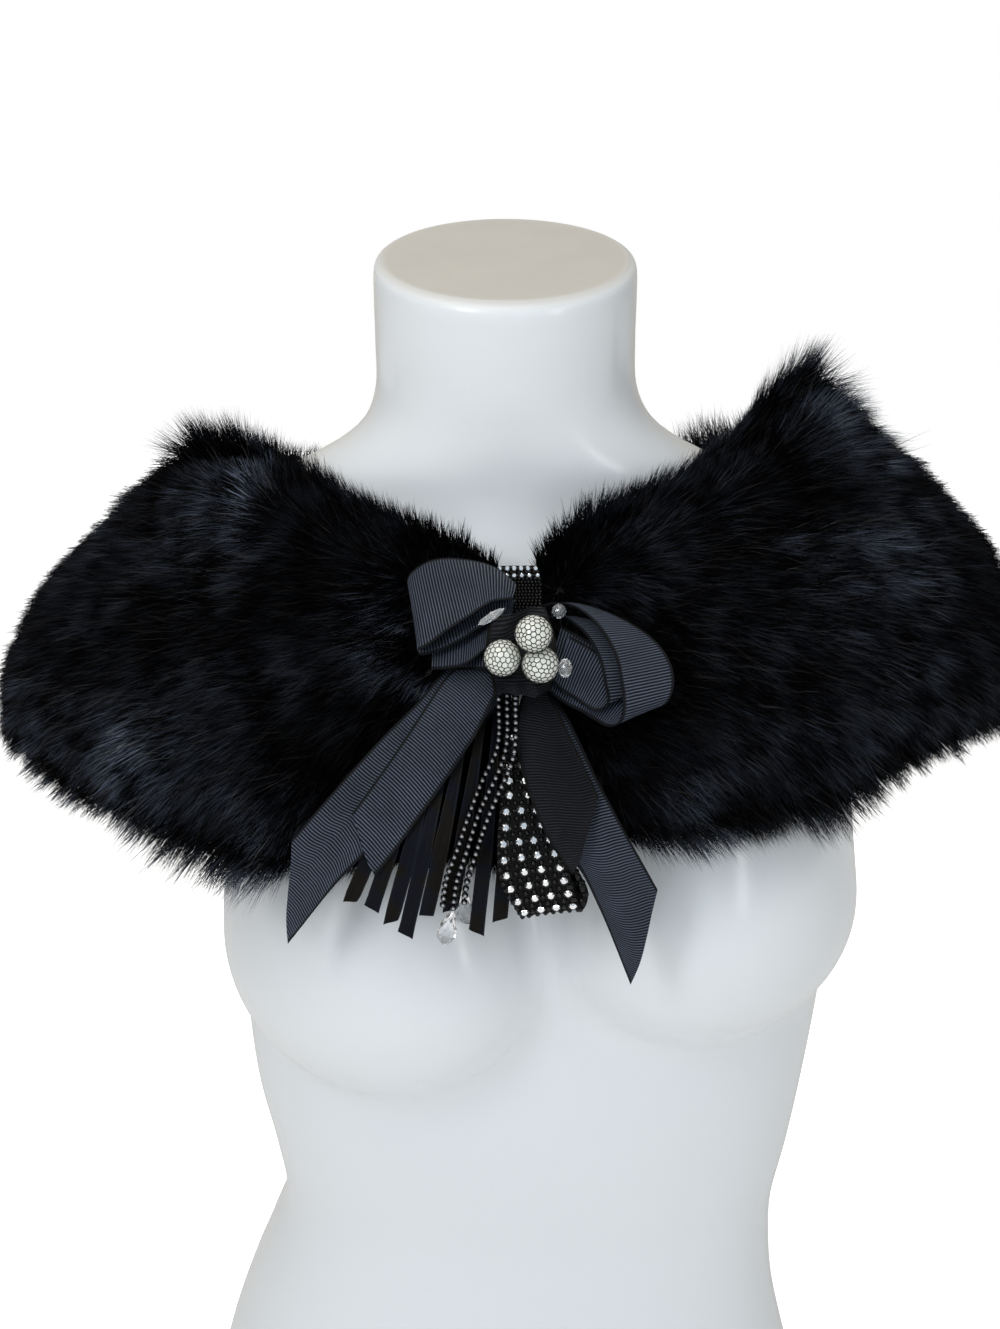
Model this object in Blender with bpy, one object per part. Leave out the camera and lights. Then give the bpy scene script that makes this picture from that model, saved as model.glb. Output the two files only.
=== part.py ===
"""A short fur capelet with a ribbon bow, worn by a limbless dress form, at real size.

Metres, +Z up. The front faces -Y and +X is the viewer's right. The origin is on the floor under the form.
Tables hold millimetres, with one row for each section or station.
"""

import math

import bmesh
import bpy
from mathutils import Vector
from mathutils.bvhtree import BVHTree

MM = 0.001

# Dress form
FORM_SEGMENTS = 40
FORM_RING_STEP = 24.0
# Each row: height, centre x, centre y, half width, depth to the front, depth to the back, squareness, lean in degrees
FORM_RINGS = (
    (0, -5, 6, 158, 92, 104, 2.3, 0),
    (6, -5, 6, 164, 97, 110, 2.3, 0),
    (50, -7, 6, 168, 98, 116, 2.3, 0),
    (86, -8, 5, 160, 95, 112, 2.3, 0),
    (125, -6, 4, 149, 88, 104, 2.3, 0),
    (160, -1, 2, 140, 84, 96, 2.3, 0),
    (190, 4, 0, 135, 82, 90, 2.3, 0),
    (225, 5, -2, 140, 86, 92, 2.3, 0),
    (265, 4, -2, 147, 92, 98, 2.3, 0),
    (310, 5, 0, 152, 97, 104, 2.3, 0),
    (360, 7, 2, 155, 99, 108, 2.3, 0),
    (410, 5, 4, 154, 97, 110, 2.3, 0),
    (460, 3, 6, 156, 90, 110, 2.3, 0),
    (500, 0, 8, 160, 80, 104, 2.3, 0),
    (530, -2, 8, 166, 70, 92, 2.3, 0),
    (552, -3, 8, 167, 62, 78, 2.2, 0),
    (566, -4, 7, 156, 56, 68, 2.1, 0),
    (578, -5, 6, 130, 55, 62, 2.0, 0),
    (590, -6, 5, 105, 57, 58, 2.0, 0),
    (600, -7, 3, 85, 58, 56, 2.0, 0),
    (612, -8, 0, 70, 58, 56, 2.0, 0),
    (628, -9, -3, 63, 58, 56, 2.0, 4),
    (650, -9.5, -7, 62, 57, 56, 2.0, 11),
    (670, -9.5, -10, 62, 57, 56, 2.0, 16),
    (684, -9.5, -12, 61.5, 57, 55, 2.0, 18),
    (688, -9.5, -12, 58, 53, 51, 2.0, 18),
)
# Each row: centre x, centre height, reach sideways, reach up, reach down, height of the mound
BUST_MOUNDS = (
    (-76, 368, 84, 125, 74, 54),
    (97, 395, 84, 125, 74, 54),
)
MOUND_SPREAD = 0.3
MOUND_EDGE = (0.62, 1.3)

# Fur capelet, from the wearer's right front edge round the back to the left front edge
FUR_WALL = 18.0
FUR_EDGE = 7.0
EDGE_TAPER = 0.12
SEAM_GAP = 0.3
BULGE_LOW = 1.9
BULGE_FLAT = 2.5
REST_GAP = 3.0
PANEL_ROWS = (0.0, 0.05, 0.12, 0.25, 0.4, 0.55, 0.7, 0.82, 0.92, 1.0)
COLUMNS_PER_STATION = 2
# Each row: neck edge x, y, z, hem x, y, z, outward bulge of the outer side at mid depth
STATIONS = (
    (-12, -71, 561, -1.5, -160, 437, 8),
    (-38, -70, 573, -38, -167, 438, 10),
    (-66, -60, 582, -77, -166, 434, 12),
    (-91, -43, 590, -107, -158, 430, 15),
    (-109, -28, 597, -135, -143, 436, 18),
    (-124, -14, 602, -174, -113, 434, 23),
    (-150, -2, 605, -223, -68, 438, 24),
    (-176, 14, 605, -262, -8, 446, 27),
    (-158, 52, 592, -246, 62, 437, 24),
    (-104, 76, 583, -190, 114, 427, 20),
    (-55, 92, 573, -108, 142, 418, 15),
    (-3, 96, 569, 0, 152, 414, 12),
    (50, 92, 576, 106, 142, 421, 15),
    (98, 76, 591, 188, 114, 433, 20),
    (140, 52, 617, 240, 62, 446, 28),
    (151, 14, 641, 250, -8, 457, 33),
    (128, 0, 637, 203, -64, 455, 31),
    (108, -12, 621, 159, -98, 450, 26),
    (94, -26, 608, 121, -128, 447, 20),
    (78, -42, 599, 93, -150, 449, 15),
    (50, -60, 590, 67, -164, 451, 12),
    (21, -70, 579, 38, -166, 448, 10),
    (3, -71, 561, 1.5, -160, 438, 8),
)
SIDE_SEAMS = (7, 15)


# Ribbons, laid on what is behind them in the order of the trim list. Each row crosses the ribbon:
# one edge's x, z and lift off what is behind, then the other edge's x, z and lift
PIECE_GAP = 0.35
HANG_FALL = 0.06
RIBBON_WALL = 1.0
TAIL_LEFT_OUTER = (
    (-24, 527, 0, -9, 513, 0),
    (-34, 520, 0, -13, 505, 0),
    (-48, 506, 0, -28, 491, 0),
    (-63, 493, 0, -43, 477, 0),
    (-82, 474, 0, -61, 459, 0),
    (-100, 454, 0.6, -79, 440, 1.2),
    (-121, 431, 1.2, -102.5, 408, 1.2),
)
TAIL_LEFT_INNER = (
    (-22, 525, 0, -10, 516, 0),
    (-33, 519, 0, -14, 510, 0),
    (-44, 506, 0, -24, 494, 0),
    (-54, 493, 0, -34, 481, 0),
    (-66, 478, 0, -46, 466, 0),
    (-75, 466, 0, -55, 454, 0),
    (-84, 454, 0, -64, 443, 0),
)
TAIL_RIGHT_OUTER = (
    (-2, 511, 0, 9, 512, 0),
    (-1, 494, 0, 18, 500, 0),
    (7, 472, 0, 28, 482, 0),
    (19, 450, 0, 40, 461, 0),
    (31, 424, 0, 54, 435.5, 0),
    (43.7, 391.5, 0, 68, 409, 0),
)
TAIL_RIGHT_INNER = (
    (-2, 512, 0.3, 9, 512, 0.3),
    (-5, 503, 0.3, 14, 503, 0.3),
    (-4, 489, 0.4, 19, 494, 0.4),
    (2, 472, 0.6, 25, 483, 0.6),
    (9, 458, 1.1, 33, 468, 1.1),
    (18, 445, 1.3, 41, 456, 1.3),
)
NET_LOOP = (
    (-10, 497, 5, -3, 497, 5),
    (-11, 482, 6, 1, 482, 6),
    (-12, 471, 7, 5, 471, 7),
    (-13, 460, 7, 10, 461, 7),
    (-13, 449, 7, 14, 452, 7),
    (-11, 439, 7, 17, 443, 7),
    (-6, 429, 6, 20, 433, 6),
    (-3, 423, 3, 23, 427, 3),
    (-2, 428, 0.3, 25, 434, 0.3),
    (-4, 446, 0, 19, 446, 0),
    (-7, 469, 0, 7, 469, 0),
    (-9, 492, 0, -2, 492, 0),
)
LOOP_LEFT_LOWER = (
    (-5, 543, 6, -9, 533, 6),
    (-13, 543, 8, -16, 530, 9),
    (-25, 539, 9, -26, 524, 10),
    (-35, 535, 8, -35, 522, 8),
    (-41, 530, 4, -41, 521, 4),
    (-37, 529, 0.5, -37, 520, 0.5),
    (-23, 532, 0, -24, 520, 0),
    (-10, 535, 0, -12, 523, 0),
)
LOOP_LEFT_UPPER = (
    (-5, 549, 7, -7, 545, 7),
    (-16, 556, 12, -15, 546, 12),
    (-32, 560, 15, -25, 542, 16),
    (-43, 559, 14, -35, 537, 15),
    (-50, 555, 11, -42, 532, 11),
    (-53, 551, 5, -47, 528, 5),
    (-49, 548, 0.5, -43, 527, 0.5),
    (-36, 549, 0, -29, 532, 0),
    (-19, 548, 0, -16, 538, 0),
    (-8, 547, 0, -9, 540, 0),
)
LOOP_RIGHT_INNER = (
    (5, 536, 0, 11, 538, 0),
    (10, 539, 2, 19, 539, 0),
    (17, 539, 4.5, 30, 538, 1.5),
    (25, 534, 7.5, 40, 533, 2),
    (30, 526, 8.5, 47, 526, 2),
    (32, 517, 7.5, 50, 518, 1.5),
    (33, 510, 4, 46, 513, 1),
    (28, 506, 1.5, 39, 519, 1),
    (20, 510, 0.5, 30, 527, 1),
    (10, 517, 0, 18, 532, 1),
)
LOOP_RIGHT_OUTER = (
    (4, 541, 9, 10, 543, 7),
    (11, 545, 12, 20, 545, 9),
    (21, 545, 17, 33, 543, 11),
    (30, 539, 21, 46, 538, 12),
    (36, 530, 23, 56, 531, 12),
    (38, 521, 23, 61, 522, 12),
    (39, 511, 19, 60, 513, 9),
    (37, 503, 10, 55, 508, 3),
    (32, 500, 2, 46, 514, 0),
    (24, 504, 0.3, 36, 525, 0),
    (15, 509, 0.2, 26, 530, 0),
    (7, 514, 0.2, 15, 534, 0),
)
KNOT_PAD = (
    (-16, 541, 0, 8, 542, 0),
    (-18, 529, 1.5, 12, 531, 1.5),
    (-14, 516, 0, 9, 515, 0),
)
# Each entry: name, rows, how far along the rows the first and the other edge end, cells along, cells across
TAILS = (
    ("net_loop", NET_LOOP, 1, 1, 26, 3),
    ("bow_tail_right_outer", TAIL_RIGHT_OUTER, 1, 0.8, 20, 4),
    ("bow_tail_left_outer", TAIL_LEFT_OUTER, 0.83, 1, 20, 4),
    ("bow_tail_right_inner", TAIL_RIGHT_INNER, 1, 0.7, 20, 4),
    ("bow_tail_left_inner", TAIL_LEFT_INNER, 0.8, 1, 20, 4),
)
# Each entry: name, rows, how far the loop is held off what is behind it by the loop around it
LOOPS = (
    (("bow_loop_right_inner", LOOP_RIGHT_INNER, 4.8), ("bow_loop_right_outer", LOOP_RIGHT_OUTER, 0)),
    (("bow_loop_left_lower", LOOP_LEFT_LOWER, 0),),
    (("bow_loop_left_upper", LOOP_LEFT_UPPER, 0),),
)
LOOP_CELLS = (18, 2)
PAD_WALL = 1.6

# Narrow satin ribbons in one head. Each row: top x, z, end x, z
FRINGE_WALL = 0.8
FRINGE_WIDTH = (2.7, 6.4)
FRINGE_WIDENS = 0.6
FRINGE = (
    (-52, 484, -75, 430),
    (-45, 491, -66, 427),
    (-38, 496, -58, 421),
    (-32, 502, -52, 415),
    (-25, 506, -43, 424),
    (-18, 509, -33, 426),
    (-12, 510, -22, 415),
    (-5, 509, -12, 420),
    (2, 507, -2, 432),
)
# Bead strands in one head. Each row of the middle strand: x, z, distance to its neighbours
BEAD = 3.0
BEADS = (
    (-9, 517, 3.5),
    (-9, 508, 3.5),
    (-9, 498, 3.4),
    (-11, 489, 3.4),
    (-17, 477, 3.5),
    (-22, 465, 3.7),
    (-26, 453, 4.0),
    (-30, 441, 4.3),
    (-31.5, 429, 4.4),
)
# Drop crystals: top x, z, lower end x, z
DROP_WIDTH = 9.0
DROPS = (
    ("crystal_drop_back", -29.5, 420, -26, 402),
    ("crystal_drop_front", -31.5, 427, -36, 411),
)
# Balls on the knot: name, x, z, diameter
BALLS = (
    ("ball_left", -11.0, 530, 15.4),
    ("ball_right", 4.8, 528, 15.4),
    ("ball_top", 1.8, 542.4, 15.4),
)
# Crystals beside them: name, x, z, width, height
CRYSTALS = (
    ("crystal_upper", 13.5, 542.5, 6.5, 6.5),
    ("crystal_lower", 15.0, 527, 6.0, 8.0),
)
LONG_CRYSTAL = (-21.5, 538.5, -10, 546, 3.6)


def row_at(rows, place):
    """The columns of a table at a fractional row, on a smooth curve through its rows."""
    last = len(rows) - 1
    first = min(max(int(place), 0), last - 1)
    t = place - first
    around = [rows[min(max(first + k, 0), last)] for k in (-1, 0, 1, 2)]
    return [
        b + 0.5 * t * (c - a + t * (2 * a - 5 * b + 4 * c - d + t * (3 * (b - c) + d - a)))
        for a, b, c, d in zip(*around)
    ]


def smoothstep(low, high, x):
    t = min(max((x - low) / (high - low), 0.0), 1.0)
    return t * t * (3 - 2 * t)


def mound_height(x, z):
    """How far the bust stands out from the chest at this place, in millimetres, and to which side."""
    most, side = 0.0, 0.0
    for centre_x, centre_z, reach, up, down, height in BUST_MOUNDS:
        across = (x - centre_x) / reach
        along = (z - centre_z) / (up if z > centre_z else down)
        inside = 1 - across * across - along * along
        if inside <= 0:
            continue
        low, high = MOUND_EDGE
        stands = height * inside ** (low + (high - low) * smoothstep(-0.3, 0.9, along))
        if stands > most:
            most, side = stands, across
    return most, side


def form_point(ring, angle):
    """A point of the dress form on one ring, in metres. Angle 0 is +X, and the front is at -90 degrees."""
    height, centre_x, centre_y, half_width, front, back, square, lean = ring
    c, s = math.cos(angle), math.sin(angle)
    power = 2 / square
    x = centre_x + half_width * math.copysign(abs(c) ** power, c)
    depth = front if s < 0 else back
    y = centre_y + depth * math.copysign(abs(s) ** power, s)
    z = height + (y - centre_y) * math.tan(math.radians(lean))
    if s < 0:
        stands, side = mound_height(x, z)
        y -= stands
        x += stands * MOUND_SPREAD * side
    return Vector((x, y, z)) * MM


def form_levels():
    """Fractional rows of FORM_RINGS, close enough together for the step."""
    levels = []
    for k in range(len(FORM_RINGS) - 1):
        rise = FORM_RINGS[k + 1][0] - FORM_RINGS[k][0]
        parts = max(1, math.ceil(rise / FORM_RING_STEP))
        levels += [k + i / parts for i in range(parts)]
    return levels + [len(FORM_RINGS) - 1]


def link(name, mesh, colour, roughness, metallic=0.0, smooth=True):
    """A named object with its own plain material."""
    material = bpy.data.materials.new(name)
    material.use_nodes = True
    shader = material.node_tree.nodes["Principled BSDF"]
    shader.inputs["Base Color"].default_value = (*colour, 1.0)
    shader.inputs["Roughness"].default_value = roughness
    shader.inputs["Metallic"].default_value = metallic
    mesh.materials.append(material)
    if smooth:
        mesh.shade_smooth()
        mesh.set_sharp_from_angle(angle=math.radians(40))
    made = bpy.data.objects.new(name, mesh)
    bpy.context.scene.collection.objects.link(made)
    return made


def mesh_of(name, points, faces):
    mesh = bpy.data.meshes.new(name)
    mesh.from_pydata(points, [], faces)
    work = bmesh.new()
    work.from_mesh(mesh)
    bmesh.ops.recalc_face_normals(work, faces=work.faces)
    work.to_mesh(mesh)
    work.free()
    return mesh


def make_form():
    """The dress form: rings from the flat base up to the tilted neck cap."""
    levels = form_levels()
    angles = [2 * math.pi * k / FORM_SEGMENTS for k in range(FORM_SEGMENTS)]
    points = [form_point(row_at(FORM_RINGS, level), a) for level in levels for a in angles]
    faces = []
    for i in range(len(levels) - 1):
        for k in range(FORM_SEGMENTS):
            n = (k + 1) % FORM_SEGMENTS
            low, high = i * FORM_SEGMENTS, (i + 1) * FORM_SEGMENTS
            faces.append((low + k, low + n, high + n, high + k))
    top = (len(levels) - 1) * FORM_SEGMENTS
    faces.append(tuple(reversed(range(FORM_SEGMENTS))))
    faces.append(tuple(range(top, top + FORM_SEGMENTS)))
    return link("dress_form", mesh_of("dress_form", points, faces), (0.78, 0.80, 0.83), 0.25)


def tree_of(*objects):
    """One search tree over the faces of these objects, which all sit at the origin."""
    points, faces = [], []
    for made in objects:
        start = len(points)
        points += [v.co.copy() for v in made.data.vertices]
        faces += [[start + i for i in p.vertices] for p in made.data.polygons]
    return BVHTree.FromPolygons(points, faces)


def pushed_clear(point, body, clear):
    """The point, moved out along the body's surface normal until it is that far from it."""
    near, normal, _, _ = body.find_nearest(point)
    above = (point - near).dot(normal)
    if above >= clear:
        return point
    return point + normal * (clear - above)


def wall_at(across):
    """Thickness of the fur, thinner towards the neck edge and the hem, where the hair tapers off."""
    return FUR_EDGE + (FUR_WALL - FUR_EDGE) * smoothstep(0, EDGE_TAPER, min(across, 1 - across))


def capelet_pair(place, across, body):
    """The outer and the inner point of the fur wall at a fractional station, both clear of the form."""
    here = row_at(STATIONS, place)
    ahead, behind = row_at(STATIONS, place + 0.05), row_at(STATIONS, place - 0.05)
    neck, hem = Vector(here[0:3]), Vector(here[3:6])
    along = (Vector(ahead[0:3]) + Vector(ahead[3:6])) - (Vector(behind[0:3]) + Vector(behind[3:6]))
    out = along.cross(hem - neck).normalized()
    bulge = here[6] * (1 - abs(2 * across**BULGE_LOW - 1) ** BULGE_FLAT)
    outer = (neck.lerp(hem, across) + out * bulge) * MM
    wall = wall_at(across) * MM
    outer = pushed_clear(outer, body, REST_GAP * MM + wall)
    inner = pushed_clear(outer - out * wall, body, REST_GAP * MM)
    return outer, inner


def make_panel(name, first, last, body):
    """One closed panel of fur between two stations."""
    count = round((last - first) * COLUMNS_PER_STATION)
    places = [first + (last - first) * k / count for k in range(count + 1)]
    outer, inner = [], []
    for place in places:
        pairs = [capelet_pair(place, across, body) for across in PANEL_ROWS]
        outer += [a for a, _ in pairs]
        inner += [b for _, b in pairs]
    rows = len(PANEL_ROWS)
    total = len(outer)
    faces = []
    for i in range(count):
        for j in range(rows - 1):
            a, b = i * rows + j, (i + 1) * rows + j
            faces.append((a, b, b + 1, a + 1))
            faces.append((total + a, total + a + 1, total + b + 1, total + b))
        for j in (0, rows - 1):
            a, b = i * rows + j, (i + 1) * rows + j
            faces.append((a, b, total + b, total + a))
    for i in (0, count):
        for j in range(rows - 1):
            a = i * rows + j
            faces.append((a, a + 1, total + a + 1, total + a))
    return link(name, mesh_of(name, outer + inner, faces), (0.012, 0.013, 0.018), 0.6)


def seam_step():
    """Half a seam's gap, as a share of the distance from one station to the next at a side seam."""
    here, ahead = STATIONS[SIDE_SEAMS[0]], STATIONS[SIDE_SEAMS[0] + 1]
    spacing = (Vector(ahead[0:3]) - Vector(here[0:3])).length
    return SEAM_GAP / 2 / spacing


def make_capelet(body):
    half = seam_step()
    left, right = SIDE_SEAMS
    return [
        make_panel("fur_front_left", 0, left - half, body),
        make_panel("fur_back", left + half, right - half, body),
        make_panel("fur_front_right", right + half, len(STATIONS) - 1, body),
    ]


class Pile:
    """The finished pieces that later ones are laid on, with their faces and their points."""

    def __init__(self, *objects):
        self.trees, self.points = [], []
        self.add(*objects)

    def add(self, *objects):
        self.trees.append(tree_of(*objects))
        for made in objects:
            self.points += samples(made.data)


def samples(mesh):
    """The corners and the middles of the edges of a mesh."""
    corners = [v.co.copy() for v in mesh.vertices]
    return corners + [(corners[a] + corners[b]) / 2 for a, b in (e.vertices for e in mesh.edges)]


def seated(mesh, pile, held_off=0.0):
    """The mesh, moved along Y until it stands PIECE_GAP and `held_off` off the nearest piece behind it."""
    own = BVHTree.FromPolygons(
        [v.co.copy() for v in mesh.vertices], [list(p.vertices) for p in mesh.polygons]
    )
    back, forth = Vector((0, 1, 0)), Vector((0, -1, 0))
    room = []
    for point in samples(mesh):
        room += [hit[3] for hit in (tree.ray_cast(point, back) for tree in pile.trees) if hit[3]]
    for point in pile.points:
        hit = own.ray_cast(point, forth)
        if hit[3]:
            room.append(hit[3])
    step = min(room) - (PIECE_GAP + held_off) * MM
    for v in mesh.vertices:
        v.co.y += step
    return mesh


def pile_front(pile, x, z, spread, fall):
    """The frontmost y of the finished pieces around this place and up to `fall` above it, in metres."""
    steps = [0.0] + [k * 0.005 for k in range(1, round(fall / 0.005) + 1)] + [-spread]
    front = None
    for dz in steps + ([spread] if fall == 0 else []):
        for dx in (-spread, 0.0, spread):
            start = Vector((x + dx, -1.0, z + dz))
            for tree in pile.trees:
                hit = tree.ray_cast(start, Vector((0, 1, 0)))[0]
                if hit is not None and (front is None or hit.y < front):
                    front = hit.y
    return front


def laid(pile, x, z, lift, wall, fall, spread=3.0):
    """A point of a ribbon's middle surface, this far off the pile behind it. Sizes in millimetres."""
    x, z = x * MM, z * MM
    front = pile_front(pile, x, z, spread * MM, fall)
    return Vector((x, front - (PIECE_GAP + 0.65 * wall + lift) * MM, z))


def smoothed(grid, passes=2):
    """The grid with its depths evened out both ways, never deeper than they were."""
    last_j, last_i = len(grid) - 1, len(grid[0]) - 1
    for _ in range(passes):
        depths = [[p.y for p in line] for line in grid]
        for j, line in enumerate(grid):
            for i, p in enumerate(line):
                around = [depths[j][i]] * 2
                if 0 < j < last_j:
                    around += [depths[j - 1][i], depths[j + 1][i]]
                if 0 < i < last_i:
                    around += [depths[j][i - 1], depths[j][i + 1]]
                p.y = min(depths[j][i], sum(around) / len(around))
    return grid


def grid_normals(grid):
    """Unit normals of a grid of points, to the side of the front at its first line."""
    normals = []
    last_j, last_i = len(grid) - 1, len(grid[0]) - 1
    for j, line in enumerate(grid):
        normals.append([])
        for i in range(len(line)):
            along = grid[min(j + 1, last_j)][i] - grid[max(j - 1, 0)][i]
            across = line[min(i + 1, last_i)] - line[max(i - 1, 0)]
            normals[-1].append(across.cross(along).normalized())
    return normals


def thick_grid(name, grid, wall):
    """A closed body of this wall around a grid of points."""
    normals = grid_normals(grid)
    half = wall * MM / 2
    front = [p + n * half for line, side in zip(grid, normals) for p, n in zip(line, side)]
    back = [p - n * half for line, side in zip(grid, normals) for p, n in zip(line, side)]
    lines, width, total = len(grid), len(grid[0]), len(front)
    rim = [i for i in range(width)]
    rim += [j * width + width - 1 for j in range(1, lines)]
    rim += [(lines - 1) * width + i for i in range(width - 2, -1, -1)]
    rim += [j * width for j in range(lines - 2, 0, -1)]
    faces = []
    for j in range(lines - 1):
        for i in range(width - 1):
            a, b = j * width + i, (j + 1) * width + i
            faces.append((a, a + 1, b + 1, b))
            faces.append((total + a, total + b, total + b + 1, total + a + 1))
    faces += [(a, total + a, total + b, b) for a, b in zip(rim, rim[1:] + rim[:1])]
    return mesh_of(name, front + back, faces)


def ribbon_grid(rows, ends, cells, pile, wall, fall, spread):
    """A ribbon's middle surface: straight lines across, cut off at `ends` along its two edges."""
    grid = []
    for j in range(cells[0] + 1):
        line = []
        for i in range(cells[1] + 1):
            t = i / cells[1]
            place = (len(rows) - 1) * j / cells[0] * (ends[0] + (ends[1] - ends[0]) * t)
            ax, az, a_lift, bx, bz, b_lift = row_at(rows, place)
            x, z, lift = ax + (bx - ax) * t, az + (bz - az) * t, a_lift + (b_lift - a_lift) * t
            line.append(laid(pile, x, z, max(lift, 0), wall, fall, spread))
        grid.append(line)
    return smoothed(grid)


def make_ribbon(name, rows, ends, cells, pile, wall=RIBBON_WALL, fall=0.0, spread=3.0, held_off=0.0):
    grid = ribbon_grid(rows, ends, cells, pile, wall, fall, spread)
    mesh = seated(thick_grid(name, grid, wall), pile, held_off)
    return link(name, mesh, (0.03, 0.034, 0.042), 0.55)


def make_comb(name, strips, widths, wall, pile, colour, roughness):
    """Strips that hang side by side from one head, as one closed body. A strip is a list of (x, z)."""
    rows = len(strips[0])
    points, faces = [], []
    for strip, wide in zip(strips, widths):
        lines = []
        for j, (x, z) in enumerate(strip):
            ahead, behind = strip[min(j + 1, rows - 1)], strip[max(j - 1, 0)]
            run = Vector((ahead[0] - behind[0], ahead[1] - behind[1])).normalized() * wide[j] / 2
            sides = ((x + run.y, z - run.x), (x - run.y, z + run.x))
            lines.append([laid(pile, *side, 0, wall, HANG_FALL, 4) for side in sides])
        for p, q in smoothed(lines):
            for step in (-wall * MM / 2, wall * MM / 2):
                points += [p + Vector((0, step, 0)), q + Vector((0, step, 0))]
    # Corners of row j of strip k: left front, right front, left back, right back
    at = lambda k, j, corner: (k * rows + j) * 4 + corner
    last = len(strips) - 1
    for k in range(last + 1):
        for j in range(rows - 1):
            faces.append((at(k, j, 0), at(k, j, 1), at(k, j + 1, 1), at(k, j + 1, 0)))
            faces.append((at(k, j, 2), at(k, j + 1, 2), at(k, j + 1, 3), at(k, j, 3)))
            if j or k == 0:
                faces.append((at(k, j, 0), at(k, j + 1, 0), at(k, j + 1, 2), at(k, j, 2)))
            if j or k == last:
                faces.append((at(k, j, 1), at(k, j, 3), at(k, j + 1, 3), at(k, j + 1, 1)))
        for j in (0, rows - 1):
            faces.append((at(k, j, 0), at(k, j, 2), at(k, j, 3), at(k, j, 1)))
        if k == last:
            continue
        n = k + 1
        faces.append((at(k, 0, 1), at(n, 0, 0), at(n, 1, 0), at(k, 1, 1)))
        faces.append((at(k, 0, 3), at(k, 1, 3), at(n, 1, 2), at(n, 0, 2)))
        for j in (0, 1):
            faces.append((at(k, j, 1), at(k, j, 3), at(n, j, 2), at(n, j, 0)))
    return link(name, seated(mesh_of(name, points, faces), pile), colour, roughness)


def make_fringe(pile):
    rows = 14
    shares = [j / (rows - 1) for j in range(rows)]
    strips = [[(a + (c - a) * s, b + (d - b) * s) for s in shares] for a, b, c, d in FRINGE]
    low, high = FRINGE_WIDTH
    wide = [low + (high - low) * min(1, s / FRINGE_WIDENS) for s in shares]
    widths = [wide] * len(strips)
    return make_comb("ribbon_fringe", strips, widths, FRINGE_WALL, pile, (0.012, 0.012, 0.013), 0.35)


def make_beads(pile):
    rows = 17
    middle = [row_at(BEADS, (len(BEADS) - 1) * j / (rows - 1)) for j in range(rows)]
    strips = [[], [], []]
    for j, (x, z, apart) in enumerate(middle):
        ahead, behind = middle[min(j + 1, rows - 1)], middle[max(j - 1, 0)]
        run = Vector((ahead[0] - behind[0], ahead[1] - behind[1])).normalized() * apart
        for strip, side in zip(strips, (1, 0, -1)):
            strip.append((x + run.y * side, z - run.x * side))
    widths = [[BEAD] * rows] * 3
    return make_comb("bead_strands", strips, widths, BEAD, pile, (0.01, 0.01, 0.012), 0.15)


def turned(name, start, end, profile, sides):
    """A solid turned about the line from start to end. Profile: share of the length, radius in millimetres."""
    axis = end - start
    u = axis.cross(Vector((0, 1, 0))).normalized()
    v = axis.cross(u).normalized()
    points = [start + axis * profile[0][0], start + axis * profile[-1][0]]
    faces = []
    rings = profile[1:-1]
    for share, radius in rings:
        for k in range(sides):
            turn = 2 * math.pi * k / sides
            points.append(start + axis * share + (u * math.cos(turn) + v * math.sin(turn)) * radius * MM)
    for r in range(len(rings)):
        for k in range(sides):
            n = (k + 1) % sides
            a, b = 2 + r * sides + k, 2 + r * sides + n
            if r == 0:
                faces.append((0, b, a))
            if r + 1 < len(rings):
                faces.append((a, b, b + sides, a + sides))
            else:
                faces.append((a, b, 1))
    return mesh_of(name, points, faces)


def laid_gem(mesh, pile, fall):
    """A small solid in front of all that is behind it, then pushed back until it touches."""
    front = min(pile_front(pile, v.co.x, v.co.z, 0.002, fall) for v in mesh.vertices)
    step = front - max(v.co.y for v in mesh.vertices)
    for v in mesh.vertices:
        v.co.y += step
    return seated(mesh, pile)


def ball_profile(diameter, rings):
    turns = [math.pi * k / (rings + 1) for k in range(rings + 2)]
    return [((1 - math.cos(t)) / 2, math.sin(t) * diameter / 2) for t in turns]


def make_gem(name, x, z, wide, tall, pile, profile, sides, colour, roughness):
    low, high = Vector((x, 0, z - tall / 2)) * MM, Vector((x, 0, z + tall / 2)) * MM
    mesh = laid_gem(turned(name, low, high, profile, sides), pile, 0)
    return link(name, mesh, colour, roughness, smooth=sides > 10)


def make_closure(body):
    """The small piece of net across the V of the neck, from one front edge to the other."""
    low, high, last = 0.02, 0.14, len(STATIONS) - 1
    grid = []
    for j in range(3):
        across = low + (high - low) * j / 2
        ends = [capelet_pair(place, across, body) for place in (0, last)]
        left, right = [outer.lerp(inner, 0.4) for outer, inner in ends]
        inwards = (right - left).normalized() * PIECE_GAP * MM
        grid.append([(left + inwards).lerp(right - inwards, i / 2) for i in range(3)])
    mesh = thick_grid("closure_net", grid, 2.0)
    return link("closure_net", mesh, (0.02, 0.02, 0.022), 0.4)


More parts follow.
